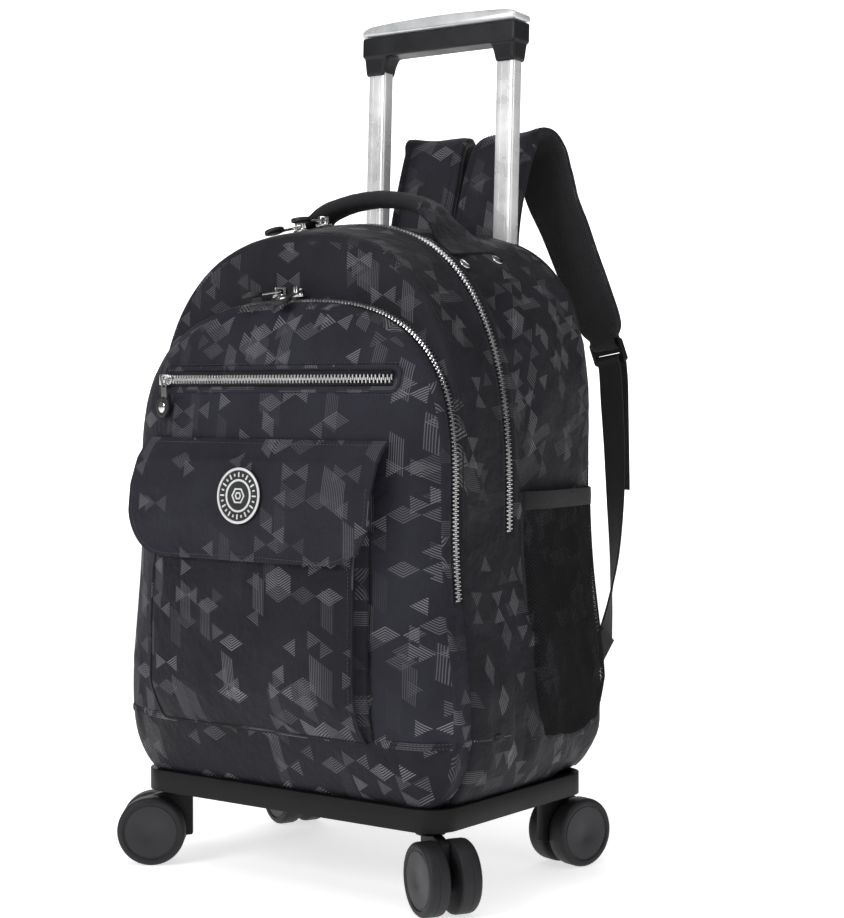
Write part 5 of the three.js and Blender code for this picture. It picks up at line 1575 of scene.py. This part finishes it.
def inflate(piece, cap, back_y):
    """Cloth with inner pressure and no gravity, each point held within cap of where it began."""
    count = len(piece.data.vertices)
    before = np.zeros(count * 3)
    piece.data.vertices.foreach_get("co", before)
    select_only(piece)
    cloth = piece.modifiers.new("Cloth", "CLOTH")
    cloth.settings.use_pressure = True
    cloth.settings.uniform_pressure_force = 4.0
    cloth.settings.effector_weights.gravity = 0.0
    cloth.settings.quality = 4
    cloth.point_cache.frame_start, cloth.point_cache.frame_end = 1, 20
    for number in range(1, 21):
        bpy.context.scene.frame_set(number)
    shaped = piece.evaluated_get(bpy.context.evaluated_depsgraph_get())
    after = np.zeros(count * 3)
    shaped.data.vertices.foreach_get("co", after)
    piece.modifiers.clear()
    bpy.context.scene.frame_set(1)
    before, after = before.reshape(-1, 3), after.reshape(-1, 3)
    move = after - before
    far = np.linalg.norm(move, axis=1)
    move *= np.minimum(1, cap * MM / np.maximum(far, 1e-9))[:, None]
    final = before + move
    final[:, 1] = np.maximum(final[:, 1], (back_y - FRAME_CENTRE_Y) * MM)
    piece.data.vertices.foreach_set("co", final.ravel())
    piece.data.update()


def quilt(pad, y0):
    """Presses channels into the cushion and lays its mesh coordinates."""
    mesh = pad.data
    for vertex in mesh.vertices:
        x, z = vertex.co.x / MM, vertex.co.z / MM
        y = vertex.co.y / MM + FRAME_CENTRE_Y
        depth = (y - y0) / PAD_THICK
        if depth < 0.45:
            continue
        lines = [abs(x)]
        lines += [abs(z - mix(PAD_LOW, PAD_HIGH, s) + 0.25 * abs(x)) for s in QUILT_ROWS]
        press = max(math.exp(-((d / 3.2) ** 2)) for d in lines)
        y -= QUILT_DEPTH * press * min(1, (depth - 0.45) * 3)
        vertex.co.y = (min(y, y0 + PAD_THICK + 1.5) - FRAME_CENTRE_Y) * MM
    layer = mesh.uv_layers.get("flat") or mesh.uv_layers.new(name="flat")
    for loop in mesh.loops:
        co = mesh.vertices[loop.vertex_index].co
        layer.data[loop.index].uv = (co.x, co.z)


def colour_boot(piece, lowering):
    """Gives the faces below the boot's seam their own cloth: a panel of its own with its own print offset,
    darker than the front's as painted shade low on the bag.
    """
    piece.data.materials.append(print_boot_painted_shade)
    for face in piece.data.polygons:
        y = face.center.y / MM + FRAME_CENTRE_Y
        if face.center.z / MM < BOOT_TOP - lowering(y):
            face.material_index = 1


def make_soft_goods():
    bag = make_bag()
    colour_boot(bag, boot_drop)
    settle(bag, "bag", "printed_cloth", "bag_rear_shell", "bag_front_shell", "tube_sleeve")
    pocket = make_front_pocket()
    colour_boot(pocket, lambda y: 0)
    settle(pocket, "bag", "printed_cloth", "front_pocket")
    make_zips()
    make_seams()
    make_boot()
    make_patch_pocket()
    make_flap()
    make_welt()
    for side_name, hand in (("right", 1), ("left", -1)):
        make_strap(side_name, hand)
        make_webbing(side_name, hand)
        make_strap_loop(side_name, hand)
        make_wing(side_name, hand)
        make_net(side_name, hand)
    make_handle()
    make_back_pad()


make_soft_goods()


# Hard pieces modelled again in more detail
def spun(name, profile, steps, *materials):
    """A turned piece about Z from its half profile of (radius, height) in millimetres."""
    mesh = bpy.data.meshes.new(name)
    points = [(r * MM, 0, h * MM) for r, h in profile]
    mesh.from_pydata(points, [(i, i + 1) for i in range(len(profile) - 1)], [])
    piece = as_piece(name, mesh)
    for material in materials:
        mesh.materials.append(material)
    open_up(piece)
    bpy.ops.mesh.spin(steps=steps, angle=2 * math.pi, center=(0, 0, 0), axis=(0, 0, 1))
    bpy.ops.mesh.select_all(action="SELECT")
    bpy.ops.mesh.remove_doubles(threshold=0.000005)
    bpy.ops.mesh.normals_make_consistent(inside=False)
    bpy.ops.object.mode_set(mode="OBJECT")
    bpy.ops.object.shade_smooth_by_angle(angle=math.radians(35))
    return piece


def placed(piece, name, matrix):
    """A copy of a piece with its own mesh, moved to its place."""
    made = piece.copy()
    made.data = piece.data.copy()
    made.name = made.data.name = name
    made.data.transform(matrix)
    bpy.context.collection.objects.link(made)
    return made


def put_away(*pieces):
    for piece in pieces:
        bpy.data.objects.remove(piece)


def joined(name, *pieces):
    bpy.ops.object.select_all(action="DESELECT")
    for piece in pieces:
        piece.select_set(True)
    bpy.context.view_layer.objects.active = pieces[0]
    bpy.ops.object.join()
    pieces[0].name = pieces[0].data.name = name
    return pieces[0]


def axes_at(place, x, y, z):
    matrix = Matrix((x, y, z)).transposed().to_4x4()
    matrix.translation = place
    return matrix


joint_of = {joint["child"]: joint for joint in frame["joints"]}

HUB_RADIUS = 24.3
WHEEL = [
    (0, 7.6), (7, 7.6), (8, 8.0), (22.6, 8.0), (23.1, 7.4), (24.0, 7.4), (24.6, 8.5), (26.6, 8.75),
    (28.4, 8.2), (29.6, 6.8), (30, 5.0), (30, 1.2), (29.7, 0.9), (30, 0.6), (30, -5.5), (29.5, -7.4),
    (28.2, -8.5), (26.4, -8.75), (11, -8.75), (10.4, -7.9), (5.4, -7.9), (4.8, -8.75), (3.35, -8.75),
    (3.35, 6.4), (0, 6.4),
]


def make_wheels():
    wheel = spun("wheel", WHEEL, 64, tyre_rubber, hub_plastic)
    for face in wheel.data.polygons:
        centre = face.center / MM
        face.material_index = 1 if math.hypot(centre.x, centre.y) < HUB_RADIUS and centre.z > 6 else 0
    for name in sorted(n for n in node if n.startswith("wheel_")):
        joint, other = joint_of[name], joint_of[name[:-1] + ("b" if name[-1] == "a" else "a")]
        place = Vector(joint["pos_m"])
        axis = Vector(joint["axis"]).normalized()
        if axis.dot(place - Vector(other["pos_m"])) < 0:
            axis = -axis
        up = Vector((0, 0, 1))
        made = placed(wheel, "turned_" + name, axes_at(place, up.cross(axis), up, axis))
        settle(made, body_of(node[name])[0], "tyre_grey", name)
    put_away(wheel)


PUCK_AWAY = 23.5  # from the pull's hinge to its puck's middle
PUCK = [
    (0, -1.2), (7.6, -1.2), (8.6, -0.9), (9, -0.2), (9, 1.6), (8.6, 2.4), (7.8, 2.8), (6.6, 2.7),
    (6.1, 2.1), (5.6, 2.0), (5.0, 2.4), (0, 2.4),
]
DOME = [(0, 2.2), (4.8, 2.2), (4.8, 2.7), (4.4, 3.0), (3.6, 3.4), (2.4, 3.75), (1.2, 3.92), (0, 3.97)]


def make_link():
    """The flat plate between a slider and its puck, with a window round the slider's bridge."""
    link = block((0, 7.85, 0), (7.4, 17, 1.3))
    cut_out(link, block((0, 3.85, 0), (4.6, 6.4, 4)))
    round_edges(link, 0.35, 40)
    link.data.materials.append(nickel)
    return link


def make_pulls():
    dome, puck = spun("dome", DOME, 32, nickel), spun("puck", PUCK, 40, badge_black)
    link = joined("link", make_link(), placed(dome, "dome_part", Matrix.Translation((0, PUCK_AWAY * MM, 0))))
    for name in sorted(n for n in node if n.startswith(("pull_straight", "pull_inner", "pull_outer"))):
        joint = joint_of[name]
        place, across = Vector(joint["pos_m"]), -Vector(joint["axis"]).normalized()
        low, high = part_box(name)
        down = (low + high) / 2 - place
        down = (down - across * down.dot(across)).normalized()
        out = across.cross(down)
        reach = [(v.co - place).dot(out) for v in node[name].data.vertices]
        if max(reach) < -min(reach):
            across, out = -across, -out
        matrix = axes_at(place, across, down, out)
        settle(placed(link, f"zip_{name}", matrix), body_of(node[name])[0], "trim_metal", name)
        ring = placed(puck, f"zip_{name}_puck", matrix @ Matrix.Translation((0, PUCK_AWAY * MM, 0)))
        settle(ring, body_of(node[name])[0], "trim_metal")
    put_away(dome, puck, link)


BADGE = [
    (0, 0), (22.6, 0), (23, 0.5), (23, 2.6), (22.5, 3.2), (21.9, 3.45), (21.1, 3.2), (20.8, 2.5),
    (13.6, 2.5), (13.3, 3.1), (12.7, 3.3), (12.1, 3.1), (11.8, 2.5), (0, 2.5),
]


BADGE_FACE = 2.5
WHITE_RINGS = ((20.8, 22.8), (11.8, 13.6))
BAR_AWAY = 17.2
BAR_COUNT = 24


def ring_band(name, inner, outer, low, high, steps, material):
    half = (outer - inner) / 2
    middle = (inner + outer) / 2
    profile = [(inner, low), (inner, high - 0.2), (middle - half * 0.6, high)]
    profile += [(middle + half * 0.6, high), (outer, high - 0.2), (outer, low), (inner, low)]
    return spun(name, profile, steps, material)


def make_badge():
    """A round moulded badge: rims, a ring of short bars and a plain hexagon in its middle."""
    points = np.array([v.co for v in node["badge"].data.vertices])
    centre = points.mean(0)
    vectors = np.linalg.eigh(np.cov((points - centre).T))[1]
    out = Vector(vectors[:, 0])
    out = -out if out.y > 0 else out
    back = Vector(centre) - out * (max((Vector(p - centre)).dot(out) for p in points))
    up = (Vector((0, 0, 1)) - out * out.z).normalized()
    matrix = axes_at(back, up.cross(out), up, out)
    disc = spun("badge_disc", BADGE, 72, badge_black, badge_white)
    for face in disc.data.polygons:
        centre_here = face.center / MM
        radius = math.hypot(centre_here.x, centre_here.y)
        on_ring = any(low < radius < high for low, high in WHITE_RINGS)
        face.material_index = int(centre_here.z > BADGE_FACE + 0.05 and on_ring)
    parts = [
        ring_band("hexagon", 5.6, 7.0, 2.3, 3.2, 6, badge_white),
        ring_band("hexagon_in", 2.0, 3.4, 2.3, 3.2, 6, badge_white),
    ]
    bar = block((0, BAR_AWAY, 2.75), (1.3, 4.2, 0.9))
    add_modifier(bar, "BEVEL", width=0.3 * MM, segments=2)
    bar.data.materials.append(badge_white)
    for k in range(BAR_COUNT):
        size = Matrix.Scale(0.55, 4, (0, 1, 0)) if k % 2 else Matrix.Identity(4)
        shift = Matrix.Translation((0, BAR_AWAY * MM, 0))
        turn = Matrix.Rotation(k / BAR_COUNT * 2 * math.pi, 4, "Z") @ shift @ size @ shift.inverted()
        parts.append(placed(bar, f"bar_{k}", turn))
    put_away(bar)
    badge = joined("round_badge", disc, *parts)
    badge.data.transform(matrix)
    settle(badge, "bag", "badge_rubber", "badge")


GRIP_FOOT = 633.5
GRIP_BAR = (173, 25, 18.9)
GRIP_LEG = (25.4, 24.4, 30.8)
BUTTON_WELL = (38.8, 9.8, 16)
TUBE_SOCKET = (20.8, 14.8, 30)
TUBE_LOW, TUBE_HIGH = 158, GRIP_FOOT + 22


def trolley_matrix():
    turn = Matrix.Rotation(-LEAN, 4, "X")
    return Matrix.Translation((0, (TUBE_FOOT_Y - FRAME_CENTRE_Y) * MM, DECK_TOP * MM)) @ turn


def make_grip():
    """The grip's moulded frame: a bar on two legs that narrow down to the tubes."""
    low = GRIP_FOOT
    bar = block((0, 0, low + 26.7), GRIP_BAR)
    add_modifier(bar, "BEVEL", width=1.6 * MM, segments=2)
    pieces = [bar]
    for hand in (-1, 1):
        leg = block((hand * (TUBE_X + 0.9), 0, low + GRIP_LEG[2] / 2), GRIP_LEG)
        open_up(leg)
        bpy.ops.mesh.subdivide(number_cuts=5)
        bpy.ops.object.mode_set(mode="OBJECT")
        for vertex in leg.data.vertices:
            share = min(1.0, max(0.0, 1 - (vertex.co.z / MM - low) / 26))
            off_tube = (vertex.co.x / MM - hand * TUBE_X) * (1 - 0.13 * share**0.8)
            vertex.co.y *= 1 - 0.27 * share**0.8
            if off_tube * hand < -3:
                off_tube -= hand * 10 * (1 - share) ** 2.2
            vertex.co.x = (hand * TUBE_X + off_tube) * MM
        round_edges(leg, 2.6, 50)
        pieces.append(leg)
    grip = joined("grip_frame", *pieces)
    add_modifier(grip, "REMESH", mode="VOXEL", voxel_size=1.1 * MM)
    add_modifier(grip, "SMOOTH", factor=0.5, iterations=5)
    grip.data.materials.clear()
    grip.data.materials.append(grip_plastic)
    for place, size in (
        ((0, 0, low + 36), BUTTON_WELL),
        ((TUBE_X, 0, low + 9), TUBE_SOCKET),
        ((-TUBE_X, 0, low + 9), TUBE_SOCKET),
    ):
        cut_out(grip, block(place, size))
    select_only(grip)
    bpy.ops.object.shade_smooth_by_angle(angle=math.radians(50))
    grip.data.transform(trolley_matrix())
    settle(grip, "pull_handle", "grip_plastic", "grip")


def tube_section():
    """A rounded rectangle with two shallow grooves along its front and back faces."""
    points = []
    for corner_x, corner_y, start in ((7, 4, 0), (-7, 4, 90), (-7, -4, 180), (7, -4, 270)):
        for k in range(5):
            angle = math.radians(start + 90 * k / 4)
            points.append((corner_x + 3 * math.cos(angle), corner_y + 3 * math.sin(angle)))
        if start in (0, 180):
            hand = 1 if start == 0 else -1
            groove = [(4.4, 7), (4.1, 6.3), (3.1, 6.3), (2.8, 7)]
            groove += [(-x, y) for x, y in groove[::-1]]
            points += [(x * hand, y * hand) for x, y in groove]
    return points


def make_tubes():
    section = tube_section()
    count = len(section)
    mesh = bpy.data.meshes.new("tube")
    mesh.from_pydata([(x * MM, y * MM, TUBE_LOW * MM) for x, y in section], [], [list(range(count))])
    tube = as_piece("tube", mesh)
    mesh.materials.append(anodised)
    open_up(tube)
    length = (TUBE_HIGH - TUBE_LOW) * MM
    bpy.ops.mesh.extrude_region_move(TRANSFORM_OT_translate={"value": (0, 0, length)})
    bpy.ops.mesh.select_all(action="SELECT")
    bpy.ops.mesh.normals_make_consistent(inside=False)
    bpy.ops.object.mode_set(mode="OBJECT")
    bpy.ops.object.shade_smooth_by_angle(angle=math.radians(35))
    for side_name, hand in (("right", 1), ("left", -1)):
        matrix = trolley_matrix() @ Matrix.Translation((hand * TUBE_X * MM, 0, 0))
        made = placed(tube, f"grooved_tube_{side_name}", matrix)
        settle(made, "pull_handle", "tube_aluminium", f"pull_tube_{side_name}")
    put_away(tube)


make_tubes()
make_wheels()
make_pulls()
make_badge()
make_grip()


# Finishes of the solids that stay
def finish_node(name, material, bevel=0.5):
    solid = node[name]
    solid.data.materials.clear()
    solid.data.materials.append(material)
    weld = solid.modifiers.new("Weld", "WELD")
    weld.merge_threshold = 0.01 * MM
    if bevel:
        edge = solid.modifiers.new("Bevel", "BEVEL")
        edge.width, edge.segments = bevel * MM, 2
        edge.limit_method, edge.angle_limit = "ANGLE", math.radians(38)
        edge.harden_normals = True
    for face in solid.data.polygons:
        face.use_smooth = bool(bevel)


for name in node:
    if node[name].hide_render:
        continue
    if name.startswith("caster_"):
        finish_node(name, caster_plastic)
    elif name.startswith(("slider_", "rivet_")):
        finish_node(name, nickel, 0.3)
    elif name.startswith(("tube_guide", "pull_tube")):
        finish_node(name, anodised, 0.4)
    elif name == "grip_cap":
        finish_node(name, cap_lacquer, 0.8)
    else:
        finish_node(name, tray_plastic, 0.8)


# Floor, light and camera
FLOOR_GLOW, BACKDROP_GLOW = 0.66, 0.98
ROOM_LIGHT = 0.13
LAMPS = [
    ("key", (-0.5, -3.0, 1.9), 1.5, 50),
    ("top", (0.3, -0.6, 3.4), 2.6, 42),
    ("side", (2.9, -0.6, 1.6), 1.2, 12),
]
AIM = Vector((0, 0, 0.35))
PHOTO_PLACE = (1.0832, -1.4142, 0.4165)
PHOTO_TURN = (math.radians(90 - 1.92), 0, math.radians(36.53))
PHOTO_LENS = 78.12


def make_stage():
    bpy.ops.object.select_all(action="DESELECT")
    bpy.ops.mesh.primitive_plane_add(size=40, location=(0, 0, 0))
    floor = bpy.context.object
    floor.name = "floor"
    white = (1, 1, 1, 1)
    paper = Finish("white_floor", (0.85,) * 3, 0.9, emission_color=white, emission_strength=FLOOR_GLOW)
    floor.data.materials.append(paper.material)
    away = Vector((-0.595, 0.804, 0))
    bpy.ops.mesh.primitive_plane_add(size=5.4, location=(0, 0, 0))
    backdrop = bpy.context.object
    backdrop.name = "backdrop"
    turn = away.to_track_quat("-Z", "Y").to_matrix().to_4x4()
    backdrop.data.transform(Matrix.Translation(away * 5 + Vector((0, 0, 2.6))) @ turn)
    lit = Finish("white_backdrop", (0.8,) * 3, 0.9, emission_color=white, emission_strength=BACKDROP_GLOW)
    backdrop.data.materials.append(lit.material)
    world = bpy.data.worlds.new("studio")
    world.use_nodes = True
    sky = world.node_tree.nodes["Background"]
    sky.inputs[0].default_value, sky.inputs[1].default_value = white, ROOM_LIGHT
    bpy.context.scene.world = world
    for name, place, size, power in LAMPS:
        light = bpy.data.lights.new(name, "AREA")
        light.energy, light.size = power, size
        lamp = as_piece(name, light)
        lamp.location = place
        aim = AIM - Vector(place)
        lamp.rotation_euler = aim.to_track_quat("-Z", "Y").to_euler()


def make_camera():
    camera = bpy.data.cameras.new("photo_camera")
    camera.sensor_width, camera.lens = 36, PHOTO_LENS
    camera.clip_end = 60
    holder = as_piece("photo_camera", camera)
    holder.location, holder.rotation_euler = PHOTO_PLACE, PHOTO_TURN
    bpy.context.scene.camera = holder


make_stage()
make_camera()
bpy.context.scene.view_settings.view_transform = "Standard"
